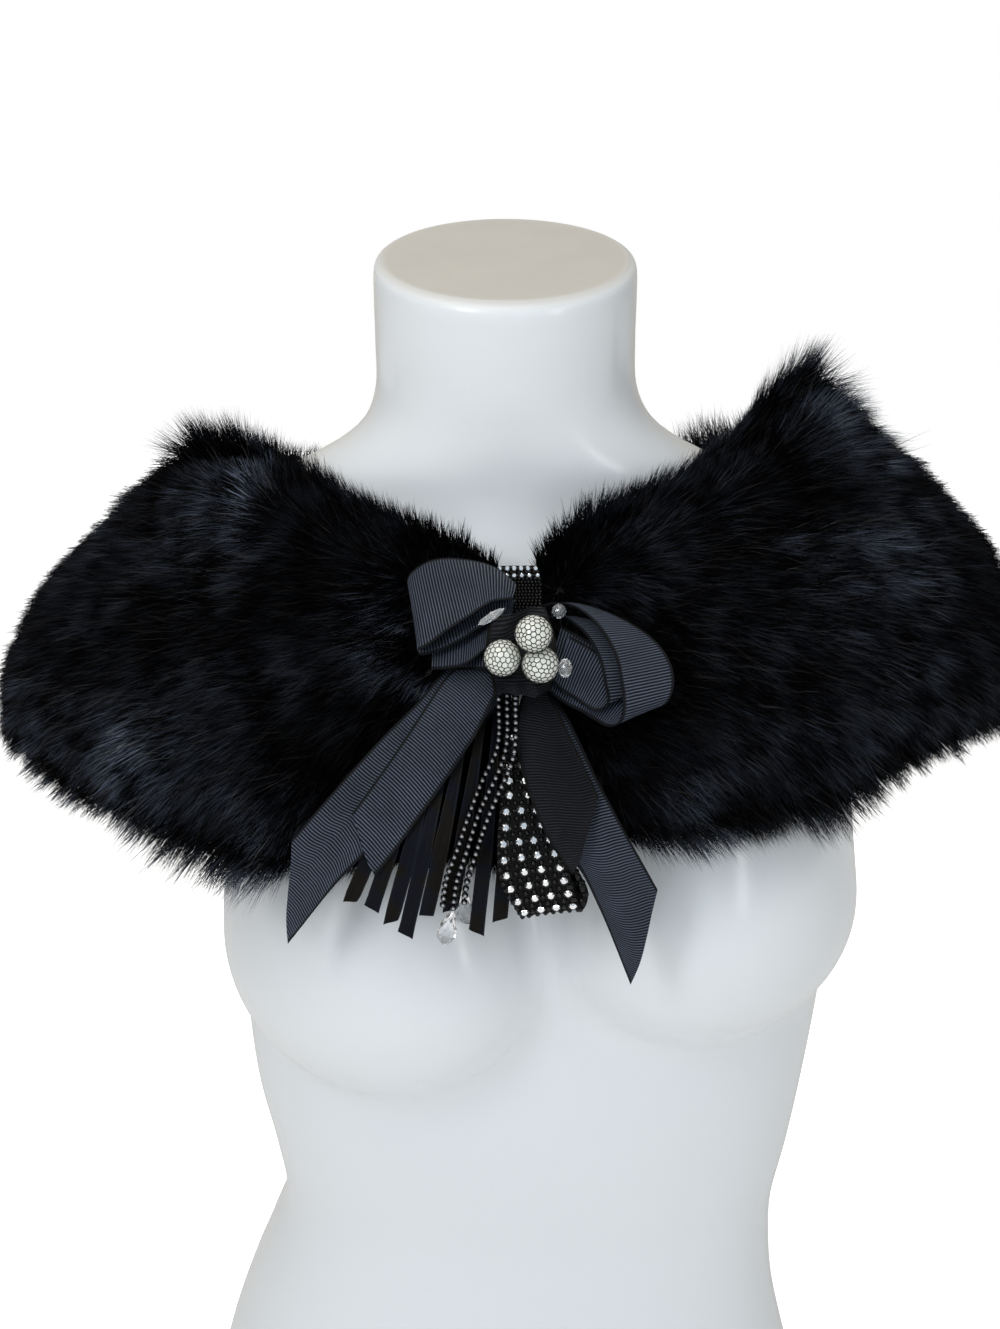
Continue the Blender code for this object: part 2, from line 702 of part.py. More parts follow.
def make_trim(form, capelet, closure):
    """Everything that hangs from the knot, from the back layer to the front."""
    pile = Pile(form, closure, *capelet)
    clear, pale = (0.85, 0.87, 0.9), (0.75, 0.76, 0.7)
    pile.add(make_fringe(pile))
    for name, rows, end_a, end_b, along, across in TAILS:
        cells = (along, across)
        pile.add(make_ribbon(name, rows, (end_a, end_b), cells, pile, fall=HANG_FALL, spread=4))
    pile.add(make_beads(pile))
    for name, x, z, end_x, end_z in DROPS:
        top, low = Vector((x, 0, z)) * MM, Vector((end_x, 0, end_z)) * MM
        shares = ((0, 0), (0.08, 0.25), (0.35, 0.7), (0.62, 1), (0.85, 0.75), (1, 0))
        profile = [(share, radius * DROP_WIDTH / 2) for share, radius in shares]
        mesh = laid_gem(turned(name, top, low, profile, 8), pile, 0.01)
        pile.add(link(name, mesh, clear, 0.05, smooth=False))
    for group in LOOPS:
        made = [
            make_ribbon(name, rows, (1, 1), LOOP_CELLS, pile, spread=5.5, held_off=held_off)
            for name, rows, held_off in group
        ]
        pile.add(*made)
    pile.add(make_ribbon("bow_knot", KNOT_PAD, (1, 1), (8, 8), pile, wall=PAD_WALL, spread=8))
    for name, x, z, across in BALLS:
        pile.add(make_gem(name, x, z, across, across, pile, ball_profile(across, 7), 14, pale, 0.3))
    for name, x, z, wide, tall in CRYSTALS:
        profile = [(0, 0), (0.1, wide * 0.3), (0.5, wide * 0.5), (0.9, wide * 0.3), (1, 0)]
        pile.add(make_gem(name, x, z, wide, tall, pile, profile, 8, clear, 0.05))
    x, z, end_x, end_z, wide = LONG_CRYSTAL
    top, low = Vector((x, 0, z)) * MM, Vector((end_x, 0, end_z)) * MM
    profile = [(0, 0), (0.2, wide / 2), (0.8, wide / 2), (1, 0)]
    mesh = laid_gem(turned("crystal_long", top, low, profile, 6), pile, 0)
    link("crystal_long", mesh, clear, 0.05, smooth=False)


def main():
    for old in list(bpy.data.objects):
        bpy.data.objects.remove(old)
    form = make_form()
    body = tree_of(form)
    capelet = make_capelet(body)
    make_trim(form, capelet, make_closure(body))


main()
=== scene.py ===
"""Looks for a black fur capelet with a ribbon bow, on a glossy white dress form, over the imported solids.

Metres, +Z up, the front faces -Y. Tables hold millimetres and repeat the ones that the solids come from.
"""

import math

import bmesh
import bpy
import numpy as np
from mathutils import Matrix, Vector
from mathutils.bvhtree import BVHTree
from mathutils.noise import noise as lumps


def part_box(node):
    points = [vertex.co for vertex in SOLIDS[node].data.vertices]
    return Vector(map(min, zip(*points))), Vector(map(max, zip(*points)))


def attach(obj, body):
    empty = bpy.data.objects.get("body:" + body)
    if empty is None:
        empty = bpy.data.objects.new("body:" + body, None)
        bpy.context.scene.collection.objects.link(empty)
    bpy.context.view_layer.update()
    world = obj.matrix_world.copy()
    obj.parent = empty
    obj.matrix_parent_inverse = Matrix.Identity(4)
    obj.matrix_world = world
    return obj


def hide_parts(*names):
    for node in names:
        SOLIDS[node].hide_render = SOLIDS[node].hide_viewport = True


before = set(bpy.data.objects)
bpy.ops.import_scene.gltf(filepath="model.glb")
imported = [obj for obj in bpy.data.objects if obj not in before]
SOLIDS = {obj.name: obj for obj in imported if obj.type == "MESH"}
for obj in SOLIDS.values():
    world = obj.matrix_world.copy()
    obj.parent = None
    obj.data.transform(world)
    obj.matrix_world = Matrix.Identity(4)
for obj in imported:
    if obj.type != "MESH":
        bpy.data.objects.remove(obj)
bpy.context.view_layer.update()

MM = 0.001

# Dress form
FORM_SEGMENTS = 160
FORM_RING_STEP = 5.0
FORM_PASSES = 10
# Each row: height, centre x, centre y, half width, depth to the front, depth to the back, squareness, lean in degrees
FORM_RINGS = (
    (0, -5, 6, 158, 92, 104, 2.3, 0),
    (6, -5, 6, 164, 97, 110, 2.3, 0),
    (50, -7, 6, 168, 98, 116, 2.3, 0),
    (86, -8, 5, 160, 95, 112, 2.3, 0),
    (125, -6, 4, 149, 88, 104, 2.3, 0),
    (160, -1, 2, 140, 84, 96, 2.3, 0),
    (190, 4, 0, 135, 82, 90, 2.3, 0),
    (225, 5, -2, 140, 86, 92, 2.3, 0),
    (265, 4, -2, 147, 92, 98, 2.3, 0),
    (310, 5, 0, 152, 97, 104, 2.3, 0),
    (360, 7, 2, 155, 99, 108, 2.3, 0),
    (410, 5, 4, 154, 97, 110, 2.3, 0),
    (460, 3, 6, 156, 90, 110, 2.3, 0),
    (500, 0, 8, 160, 80, 104, 2.3, 0),
    (530, -2, 8, 166, 70, 92, 2.3, 0),
    (552, -3, 8, 167, 62, 78, 2.2, 0),
    (566, -4, 7, 156, 56, 68, 2.1, 0),
    (578, -5, 6, 130, 55, 62, 2.0, 0),
    (590, -6, 5, 105, 57, 58, 2.0, 0),
    (600, -7, 3, 85, 58, 56, 2.0, 0),
    (612, -8, 0, 70, 58, 56, 2.0, 0),
    (628, -9, -3, 63, 58, 56, 2.0, 4),
    (650, -9.5, -7, 62, 57, 56, 2.0, 11),
    (670, -9.5, -10, 62, 57, 56, 2.0, 16),
    (684, -9.5, -12, 61.5, 57, 55, 2.0, 18),
    (688, -9.5, -12, 58, 53, 51, 2.0, 18),
)
# Each row: centre x, centre height, reach sideways, reach up, reach down, height of the mound
BUST_MOUNDS = (
    (-76, 368, 84, 125, 74, 54),
    (97, 395, 84, 125, 74, 54),
)
MOUND_SPREAD = 0.3
MOUND_EDGE = (0.62, 1.3)

# Fur capelet, from the wearer's right front edge round the back to the left front edge
FUR_WALL = 18.0
FUR_EDGE = 7.0
EDGE_TAPER = 0.12
SEAM_GAP = 0.3
BULGE_LOW = 1.9
BULGE_FLAT = 2.5
REST_GAP = 3.0
PANEL_ROWS = (0.0, 0.05, 0.12, 0.25, 0.4, 0.55, 0.7, 0.82, 0.92, 1.0)
COLUMNS_PER_STATION = 2
# Each row: neck edge x, y, z, hem x, y, z, outward bulge of the outer side at mid depth
STATIONS = (
    (-12, -71, 561, -1.5, -160, 437, 8),
    (-38, -70, 573, -38, -167, 438, 10),
    (-66, -60, 582, -77, -166, 434, 12),
    (-91, -43, 590, -107, -158, 430, 15),
    (-109, -28, 597, -135, -143, 436, 18),
    (-124, -14, 602, -174, -113, 434, 23),
    (-150, -2, 605, -223, -68, 438, 24),
    (-176, 14, 605, -262, -8, 446, 27),
    (-158, 52, 592, -246, 62, 437, 24),
    (-104, 76, 583, -190, 114, 427, 20),
    (-55, 92, 573, -108, 142, 418, 15),
    (-3, 96, 569, 0, 152, 414, 12),
    (50, 92, 576, 106, 142, 421, 15),
    (98, 76, 591, 188, 114, 433, 20),
    (140, 52, 617, 240, 62, 446, 28),
    (151, 14, 641, 250, -8, 457, 33),
    (128, 0, 637, 203, -64, 455, 31),
    (108, -12, 621, 159, -98, 450, 26),
    (94, -26, 608, 121, -128, 447, 20),
    (78, -42, 599, 93, -150, 449, 15),
    (50, -60, 590, 67, -164, 451, 12),
    (21, -70, 579, 38, -166, 448, 10),
    (3, -71, 561, 1.5, -160, 438, 8),
)
SIDE_SEAMS = (7, 15)


# Ribbons, laid on what is behind them in the order of the trim list. Each row crosses the ribbon:
# one edge's x, z and lift off what is behind, then the other edge's x, z and lift
PIECE_GAP = 0.35
HANG_FALL = 0.06
RIBBON_WALL = 1.0
TAIL_LEFT_OUTER = (
    (-24, 527, 0, -9, 513, 0),
    (-34, 520, 0, -13, 505, 0),
    (-48, 506, 0, -28, 491, 0),
    (-63, 493, 0, -43, 477, 0),
    (-82, 474, 0, -61, 459, 0),
    (-100, 454, 0.6, -79, 440, 1.2),
    (-121, 431, 1.2, -102.5, 408, 1.2),
)
TAIL_LEFT_INNER = (
    (-22, 525, 0, -10, 516, 0),
    (-33, 519, 0, -14, 510, 0),
    (-44, 506, 0, -24, 494, 0),
    (-54, 493, 0, -34, 481, 0),
    (-66, 478, 0, -46, 466, 0),
    (-75, 466, 0, -55, 454, 0),
    (-84, 454, 0, -64, 443, 0),
)
TAIL_RIGHT_OUTER = (
    (-2, 511, 0, 9, 512, 0),
    (-1, 494, 0, 18, 500, 0),
    (7, 472, 0, 28, 482, 0),
    (19, 450, 0, 40, 461, 0),
    (31, 424, 0, 54, 435.5, 0),
    (43.7, 391.5, 0, 68, 409, 0),
)
TAIL_RIGHT_INNER = (
    (-2, 512, 0.3, 9, 512, 0.3),
    (-5, 503, 0.3, 14, 503, 0.3),
    (-4, 489, 0.4, 19, 494, 0.4),
    (2, 472, 0.6, 25, 483, 0.6),
    (9, 458, 1.1, 33, 468, 1.1),
    (18, 445, 1.3, 41, 456, 1.3),
)
NET_LOOP = (
    (-10, 497, 5, -3, 497, 5),
    (-11, 482, 6, 1, 482, 6),
    (-12, 471, 7, 5, 471, 7),
    (-13, 460, 7, 10, 461, 7),
    (-13, 449, 7, 14, 452, 7),
    (-11, 439, 7, 17, 443, 7),
    (-6, 429, 6, 20, 433, 6),
    (-3, 423, 3, 23, 427, 3),
    (-2, 428, 0.3, 25, 434, 0.3),
    (-4, 446, 0, 19, 446, 0),
    (-7, 469, 0, 7, 469, 0),
    (-9, 492, 0, -2, 492, 0),
)
LOOP_LEFT_LOWER = (
    (-5, 543, 6, -9, 533, 6),
    (-13, 543, 8, -16, 530, 9),
    (-25, 539, 9, -26, 524, 10),
    (-35, 535, 8, -35, 522, 8),
    (-41, 530, 4, -41, 521, 4),
    (-37, 529, 0.5, -37, 520, 0.5),
    (-23, 532, 0, -24, 520, 0),
    (-10, 535, 0, -12, 523, 0),
)
LOOP_LEFT_UPPER = (
    (-5, 549, 7, -7, 545, 7),
    (-16, 556, 12, -15, 546, 12),
    (-32, 560, 15, -25, 542, 16),
    (-43, 559, 14, -35, 537, 15),
    (-50, 555, 11, -42, 532, 11),
    (-53, 551, 5, -47, 528, 5),
    (-49, 548, 0.5, -43, 527, 0.5),
    (-36, 549, 0, -29, 532, 0),
    (-19, 548, 0, -16, 538, 0),
    (-8, 547, 0, -9, 540, 0),
)
LOOP_RIGHT_INNER = (
    (5, 536, 0, 11, 538, 0),
    (10, 539, 2, 19, 539, 0),
    (17, 539, 4.5, 30, 538, 1.5),
    (25, 534, 7.5, 40, 533, 2),
    (30, 526, 8.5, 47, 526, 2),
    (32, 517, 7.5, 50, 518, 1.5),
    (33, 510, 4, 46, 513, 1),
    (28, 506, 1.5, 39, 519, 1),
    (20, 510, 0.5, 30, 527, 1),
    (10, 517, 0, 18, 532, 1),
)
LOOP_RIGHT_OUTER = (
    (4, 541, 9, 10, 543, 7),
    (11, 545, 12, 20, 545, 9),
    (21, 545, 17, 33, 543, 11),
    (30, 539, 21, 46, 538, 12),
    (36, 530, 23, 56, 531, 12),
    (38, 521, 23, 61, 522, 12),
    (39, 511, 19, 60, 513, 9),
    (37, 503, 10, 55, 508, 3),
    (32, 500, 2, 46, 514, 0),
    (24, 504, 0.3, 36, 525, 0),
    (15, 509, 0.2, 26, 530, 0),
    (7, 514, 0.2, 15, 534, 0),
)
KNOT_PAD = (
    (-16, 541, 0, 8, 542, 0),
    (-18, 529, 1.5, 12, 531, 1.5),
    (-14, 516, 0, 9, 515, 0),
)
# Each entry: name, rows, how far along the rows the first and the other edge end, cells along, cells across
TAILS = (
    ("net_loop", NET_LOOP, 1, 1, 26, 3),
    ("bow_tail_right_outer", TAIL_RIGHT_OUTER, 1, 0.8, 20, 4),
    ("bow_tail_left_outer", TAIL_LEFT_OUTER, 0.83, 1, 20, 4),
    ("bow_tail_right_inner", TAIL_RIGHT_INNER, 1, 0.7, 20, 4),
    ("bow_tail_left_inner", TAIL_LEFT_INNER, 0.8, 1, 20, 4),
)
# Each entry: name, rows, how far the loop is held off what is behind it by the loop around it
LOOPS = (
    (("bow_loop_right_inner", LOOP_RIGHT_INNER, 4.8), ("bow_loop_right_outer", LOOP_RIGHT_OUTER, 0)),
    (("bow_loop_left_lower", LOOP_LEFT_LOWER, 0),),
    (("bow_loop_left_upper", LOOP_LEFT_UPPER, 0),),
)
LOOP_CELLS = (18, 2)
LOOP_ROLL = 7.0
PAD_WALL = 1.6

# Narrow satin ribbons in one head. Each row: top x, z, end x, z
FRINGE_WALL = 0.8
FRINGE_WIDTH = (2.7, 6.4)
FRINGE_WIDENS = 0.6
FRINGE = (
    (-52, 484, -75, 430),
    (-45, 491, -66, 427),
    (-38, 496, -58, 421),
    (-32, 502, -52, 415),
    (-25, 506, -43, 424),
    (-18, 509, -33, 426),
    (-12, 510, -22, 415),
    (-5, 509, -12, 420),
    (2, 507, -2, 432),
)
# Bead strands in one head. Each row of the middle strand: x, z, distance to its neighbours
BEAD = 3.0
BEADS = (
    (-9, 517, 3.5),
    (-9, 508, 3.5),
    (-9, 498, 3.4),
    (-11, 489, 3.4),
    (-17, 477, 3.5),
    (-22, 465, 3.7),
    (-26, 453, 4.0),
    (-30, 441, 4.3),
    (-31.5, 429, 4.4),
)
# Drop crystals: top x, z, lower end x, z
DROP_WIDTH = 9.0
DROPS = (
    ("crystal_drop_back", -29.5, 420, -26, 402),
    ("crystal_drop_front", -31.5, 427, -36, 411),
)
# Balls on the knot: name, x, z, diameter
BALLS = (
    ("ball_left", -11.0, 530, 15.4),
    ("ball_right", 4.8, 528, 15.4),
    ("ball_top", 1.8, 542.4, 15.4),
)
# Crystals beside them: name, x, z, width, height
CRYSTALS = (
    ("crystal_upper", 13.5, 542.5, 6.5, 6.5),
    ("crystal_lower", 15.0, 527, 6.0, 8.0),
)
LONG_CRYSTAL = (-21.5, 538.5, -10, 546, 3.6)

# Camera: the point it looks at in metres, how far it is, its rise in degrees and its lens
CAMERA_AIM = (-0.012, -0.05, 0.5)
CAMERA_AWAY = 0.765
CAMERA_RISE = 16.0
CAMERA_LENS = 43.34
ROOM_LIGHT = 0.6
# Each row: name, turn from the front in degrees, rise, distance, width, height, power
SOFT_LIGHTS = (
    ("left_window", -31, 30, 1.7, 0.3, 0.8, 7.0),
    ("right_window", 41, 8, 1.7, 0.14, 0.8, 2.4),
    ("top_panel", -30, 64, 1.6, 1.4, 1.0, 8),
)

# Pelts under the fur: wall, the part of the band that they cover, and the cells of their grids
PELT_WALL = 3.0
PELT_RISE = 3.0
PELT_SPAN = (0.035, 0.92)
PELT_ROWS = 34
PELT_COLUMNS = 8
# Each panel's cut in metres: width, length, share of that rectangle
PELT_CUTS = {
    "front_left": (0.31, 0.18, 0.8),
    "back": (0.58, 0.185, 0.87),
    "front_right": (0.30, 0.18, 0.8),
}
# Where painted sheen lightens the hair tips: station, place between neck edge and hem, reach along, reach across,
# strength
PAINTED_SHEEN_SPOTS = (
    (4.9, 0.22, 1.5, 0.2, 0.9),
    (5.3, 0.8, 2.4, 0.2, 1.0),
    (2.9, 0.9, 1.2, 0.15, 0.5),
    (1.1, 0.3, 1.2, 0.2, 1.3),
    (8.5, 0.35, 1.5, 0.2, 0.5),
    (11.0, 0.35, 2.5, 0.22, 0.5),
    (11.0, 0.85, 3.5, 0.2, 0.6),
    (15.9, 0.12, 1.1, 0.22, 0.9),
    (16.2, 0.45, 0.9, 0.2, 0.4),
    (17.6, 0.42, 1.5, 0.2, 0.35),
    (17.6, 0.8, 1.7, 0.2, 0.4),
    (20.0, 0.85, 1.0, 0.2, 0.3),
)
# Where the hair at the neck edge and at the hem is longer or shorter: station, reach, share
NECK_TUFTS = (
    (5.9, 0.8, 0.6), (8.2, 0.8, 0.4), (13.0, 0.5, 0.8), (14.0, 0.7, 0.4), (16.2, 0.9, 0.7),
)
HEM_TUFTS = ((3.8, 1.6, 0.45), (17.6, 0.6, 0.5))
LOCK_SIZE = 9.0
# Kinds of hair: finish, blade, its triangles, triangles a panel, length, width, lift, lock pull, stray, roll
HAIR_KINDS = (
    ("under_hair", "under", 1, 56000, 14.0, 1.0, 0.85, 0.2, 0.3, 1.2),
    ("guard_hair", "guard", 2, 188000, 23.0, 0.33, 0.5, 0.45, 0.1, 0.9),
    ("stray_hair", "guard", 2, 8000, 25.0, 0.24, 0.8, 0.1, 0.4, 1.2),
)


def row_at(rows, place):
    """The columns of a table at a fractional row, on a smooth curve through its rows."""
    last = len(rows) - 1
    first = min(max(int(place), 0), last - 1)
    t = place - first
    around = [rows[min(max(first + k, 0), last)] for k in (-1, 0, 1, 2)]
    return [
        b + 0.5 * t * (c - a + t * (2 * a - 5 * b + 4 * c - d + t * (3 * (b - c) + d - a)))
        for a, b, c, d in zip(*around)
    ]


def smoothstep(low, high, x):
    t = min(max((x - low) / (high - low), 0.0), 1.0)
    return t * t * (3 - 2 * t)


def mound_height(x, z):
    """How far the bust stands out from the chest at this place, in millimetres, and to which side."""
    most, side = 0.0, 0.0
    for centre_x, centre_z, reach, up, down, height in BUST_MOUNDS:
        across = (x - centre_x) / reach
        along = (z - centre_z) / (up if z > centre_z else down)
        inside = 1 - across * across - along * along
        if inside <= 0:
            continue
        low, high = MOUND_EDGE
        stands = height * inside ** (low + (high - low) * smoothstep(-0.3, 0.9, along))
        if stands > most:
            most, side = stands, across
    return most, side


def form_point(ring, angle):
    """A point of the dress form on one ring, in metres. Angle 0 is +X, and the front is at -90 degrees."""
    height, centre_x, centre_y, half_width, front, back, square, lean = ring
    c, s = math.cos(angle), math.sin(angle)
    power = 2 / square
    x = centre_x + half_width * math.copysign(abs(c) ** power, c)
    depth = front if s < 0 else back
    y = centre_y + depth * math.copysign(abs(s) ** power, s)
    z = height + (y - centre_y) * math.tan(math.radians(lean))
    if s < 0:
        stands, side = mound_height(x, z)
        y -= stands
        x += stands * MOUND_SPREAD * side
    return Vector((x, y, z)) * MM


def form_levels():
    """Fractional rows of FORM_RINGS, close enough together for the step."""
    levels = []
    for k in range(len(FORM_RINGS) - 1):
        rise = FORM_RINGS[k + 1][0] - FORM_RINGS[k][0]
        parts = max(1, math.ceil(rise / FORM_RING_STEP))
        levels += [k + i / parts for i in range(parts)]
    return levels + [len(FORM_RINGS) - 1]


def pushed_clear(point, body, clear):
    """The point, moved out along the body's surface normal until it is that far from it."""
    near, normal, _, _ = body.find_nearest(point)
    above = (point - near).dot(normal)
    if above >= clear:
        return point
    return point + normal * (clear - above)


def wall_at(across):
    """Thickness of the fur, thinner towards the neck edge and the hem, where the hair tapers off."""
    return FUR_EDGE + (FUR_WALL - FUR_EDGE) * smoothstep(0, EDGE_TAPER, min(across, 1 - across))


def capelet_pair(place, across, body):
    """The outer and the inner point of the fur wall at a fractional station, both clear of the form."""
    here = row_at(STATIONS, place)
    ahead, behind = row_at(STATIONS, place + 0.05), row_at(STATIONS, place - 0.05)
    neck, hem = Vector(here[0:3]), Vector(here[3:6])
    along = (Vector(ahead[0:3]) + Vector(ahead[3:6])) - (Vector(behind[0:3]) + Vector(behind[3:6]))
    out = along.cross(hem - neck).normalized()
    bulge = here[6] * (1 - abs(2 * across**BULGE_LOW - 1) ** BULGE_FLAT)
    outer = (neck.lerp(hem, across) + out * bulge) * MM
    wall = wall_at(across) * MM
    outer = pushed_clear(outer, body, REST_GAP * MM + wall)
    inner = pushed_clear(outer - out * wall, body, REST_GAP * MM)
    return outer, inner


def pile_front(pile, x, z, spread, fall):
    """The frontmost y of the finished pieces around this place and up to `fall` above it, in metres."""
    steps = [0.0] + [k * 0.005 for k in range(1, round(fall / 0.005) + 1)] + [-spread]
    front = None
    for dz in steps + ([spread] if fall == 0 else []):
        for dx in (-spread, 0.0, spread):
            start = Vector((x + dx, -1.0, z + dz))
            for tree in pile.trees:
                hit = tree.ray_cast(start, Vector((0, 1, 0)))[0]
                if hit is not None and (front is None or hit.y < front):
                    front = hit.y
    return front


def laid(pile, x, z, lift, wall, fall, spread=3.0):
    """A point of a ribbon's middle surface, this far off the pile behind it. Sizes in millimetres."""
    x, z = x * MM, z * MM
    front = pile_front(pile, x, z, spread * MM, fall)
    return Vector((x, front - (PIECE_GAP + 0.65 * wall + lift) * MM, z))


def smoothed(grid, passes=2):
    """The grid with its depths evened out both ways, never deeper than they were."""
    last_j, last_i = len(grid) - 1, len(grid[0]) - 1
    for _ in range(passes):
        depths = [[p.y for p in line] for line in grid]
        for j, line in enumerate(grid):
            for i, p in enumerate(line):
                around = [depths[j][i]] * 2
                if 0 < j < last_j:
                    around += [depths[j - 1][i], depths[j + 1][i]]
                if 0 < i < last_i:
                    around += [depths[j][i - 1], depths[j][i + 1]]
                p.y = min(depths[j][i], sum(around) / len(around))
    return grid


def grid_normals(grid):
    """Unit normals of a grid of points, to the side of the front at its first line."""
    normals = []
    last_j, last_i = len(grid) - 1, len(grid[0]) - 1
    for j, line in enumerate(grid):
        normals.append([])
        for i in range(len(line)):
            along = grid[min(j + 1, last_j)][i] - grid[max(j - 1, 0)][i]
            across = line[min(i + 1, last_i)] - line[max(i - 1, 0)]
            normals[-1].append(across.cross(along).normalized())
    return normals


def ribbon_grid(rows, ends, cells, pile, wall, fall, spread):
    """A ribbon's middle surface: straight lines across, cut off at `ends` along its two edges."""
    grid = []
    for j in range(cells[0] + 1):
        line = []
        for i in range(cells[1] + 1):
            t = i / cells[1]
            place = (len(rows) - 1) * j / cells[0] * (ends[0] + (ends[1] - ends[0]) * t)
            ax, az, a_lift, bx, bz, b_lift = row_at(rows, place)
            x, z, lift = ax + (bx - ax) * t, az + (bz - az) * t, a_lift + (b_lift - a_lift) * t
            line.append(laid(pile, x, z, max(lift, 0), wall, fall, spread))
        grid.append(line)
    return smoothed(grid)


def add_to(tree):
    """A short way to add a node to this tree: its kind, its inputs by name or number, then its settings."""

    def add(kind, inputs=None, **settings):
        made = tree.nodes.new(kind)
        for key, value in settings.items():
            setattr(made, key, value)
        for key, value in (inputs or {}).items():
            if isinstance(value, bpy.types.NodeSocket):
                tree.links.new(value, made.inputs[key])
            else:
                made.inputs[key].default_value = value
        return made

    return add


def new_group(name, kind, inputs, outputs):
    """An empty node group with named sockets: (label, socket type, default)."""
    tree = bpy.data.node_groups.new(name, kind)
    for label, socket, default in inputs:
        made = tree.interface.new_socket(label, in_out="INPUT", socket_type=socket)
        if default is not None:
            made.default_value = default
    for label, socket in outputs:
        tree.interface.new_socket(label, in_out="OUTPUT", socket_type=socket)
    add = add_to(tree)
    return tree, add, add("NodeGroupInput").outputs, add("NodeGroupOutput").inputs


def join(tree, source, target):
    tree.links.new(source, target)


def maths(add, operation, a, b=0.0, clamp=False):
    return add("ShaderNodeMath", {0: a, 1: b}, operation=operation, use_clamp=clamp).outputs[0]


def spread(add, value, low, high, to_low=0.0, to_high=1.0):
    """The value, taken from one range to another along a smooth step."""
    made = {"Value": value, "From Min": low, "From Max": high, "To Min": to_low, "To Max": to_high}
    return add("ShaderNodeMapRange", made, interpolation_type="SMOOTHSTEP").outputs["Result"]


def blended(add, share, a, b):
    """A colour between a and b."""
    made = add("ShaderNodeMix", data_type="RGBA")
    for socket, value in zip((made.inputs[0], made.inputs[6], made.inputs[7]), (share, a, b)):
        if isinstance(value, bpy.types.NodeSocket):
            made.id_data.links.new(value, socket)
        else:
            socket.default_value = value if socket == made.inputs[0] else (*value, 1.0)
    return made.outputs[2]


def finish_of(name, **values):
    """A material with its shader's plain values set, and what adds nodes to it."""
    material = bpy.data.materials.new(name)
    material.use_nodes = True
    tree = material.node_tree
    shader = tree.nodes["Principled BSDF"]
    for label, value in values.items():
        socket = shader.inputs[label.replace("_", " ")]
        socket.default_value = (*value, 1.0) if isinstance(value, tuple) else value
    return material, tree, add_to(tree), shader.inputs


def bumped(tree, add, sockets, height, distance, strength=1.0):
    made = add("ShaderNodeBump", {"Height": height, "Distance": distance, "Strength": strength})
    join(tree, made.outputs["Normal"], sockets["Normal"])


def shown(name, mesh, *finishes):
    made = bpy.data.objects.new(name, mesh)
    bpy.context.scene.collection.objects.link(made)
    for finish in finishes:
        made.data.materials.append(finish)
    return made


def placed(piece, slot, *nodes):
    """The piece rides with the form and stands for these solids, which are hidden. The slot is not used."""
    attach(piece, "root")
    if nodes:
        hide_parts(*nodes)
    return piece


def plain_mesh(name, points, faces, smooth=True, angle=40):
    mesh = bpy.data.meshes.new(name)
    mesh.from_pydata([tuple(p) for p in points], [], faces)
    work = bmesh.new()
    work.from_mesh(mesh)
    bmesh.ops.recalc_face_normals(work, faces=work.faces)
    work.to_mesh(mesh)
    work.free()
    if smooth:
        mesh.shade_smooth()
        mesh.set_sharp_from_angle(angle=math.radians(angle))
    return mesh


def grown(name, seed_mesh, tree, values, finish):
    """The plain mesh that a tree of geometry nodes makes from this mesh, as an object at the origin."""
    made = shown(name, seed_mesh)
    modifier = made.modifiers.new("grow", "NODES")
    modifier.node_group = tree
    for item in tree.interface.items_tree:
        if item.in_out == "INPUT" and item.name in values:
            modifier[item.identifier] = values[item.name]
    ready = made.evaluated_get(bpy.context.evaluated_depsgraph_get())
    mesh = bpy.data.meshes.new_from_object(ready)
    made.modifiers.remove(modifier)
    made.data = mesh
    mesh.materials.clear()
    mesh.materials.append(finish)
    return made


def solid_tree(*names):
    """One search tree over the faces of these solids."""
    points, faces = [], []
    for name in names:
        mesh = SOLIDS[name].data
        start = len(points)
        points += [v.co.copy() for v in mesh.vertices]
        faces += [[start + i for i in p.vertices] for p in mesh.polygons]
    return BVHTree.FromPolygons(points, faces)


def noise(add, place, scale, detail=3.0, rough=0.5):
    made = {"Vector": place, "Scale": scale, "Detail": detail, "Roughness": rough}
    return add("ShaderNodeTexNoise", made).outputs[0]


def object_place(add):
    return add("ShaderNodeTexCoord").outputs["Object"]


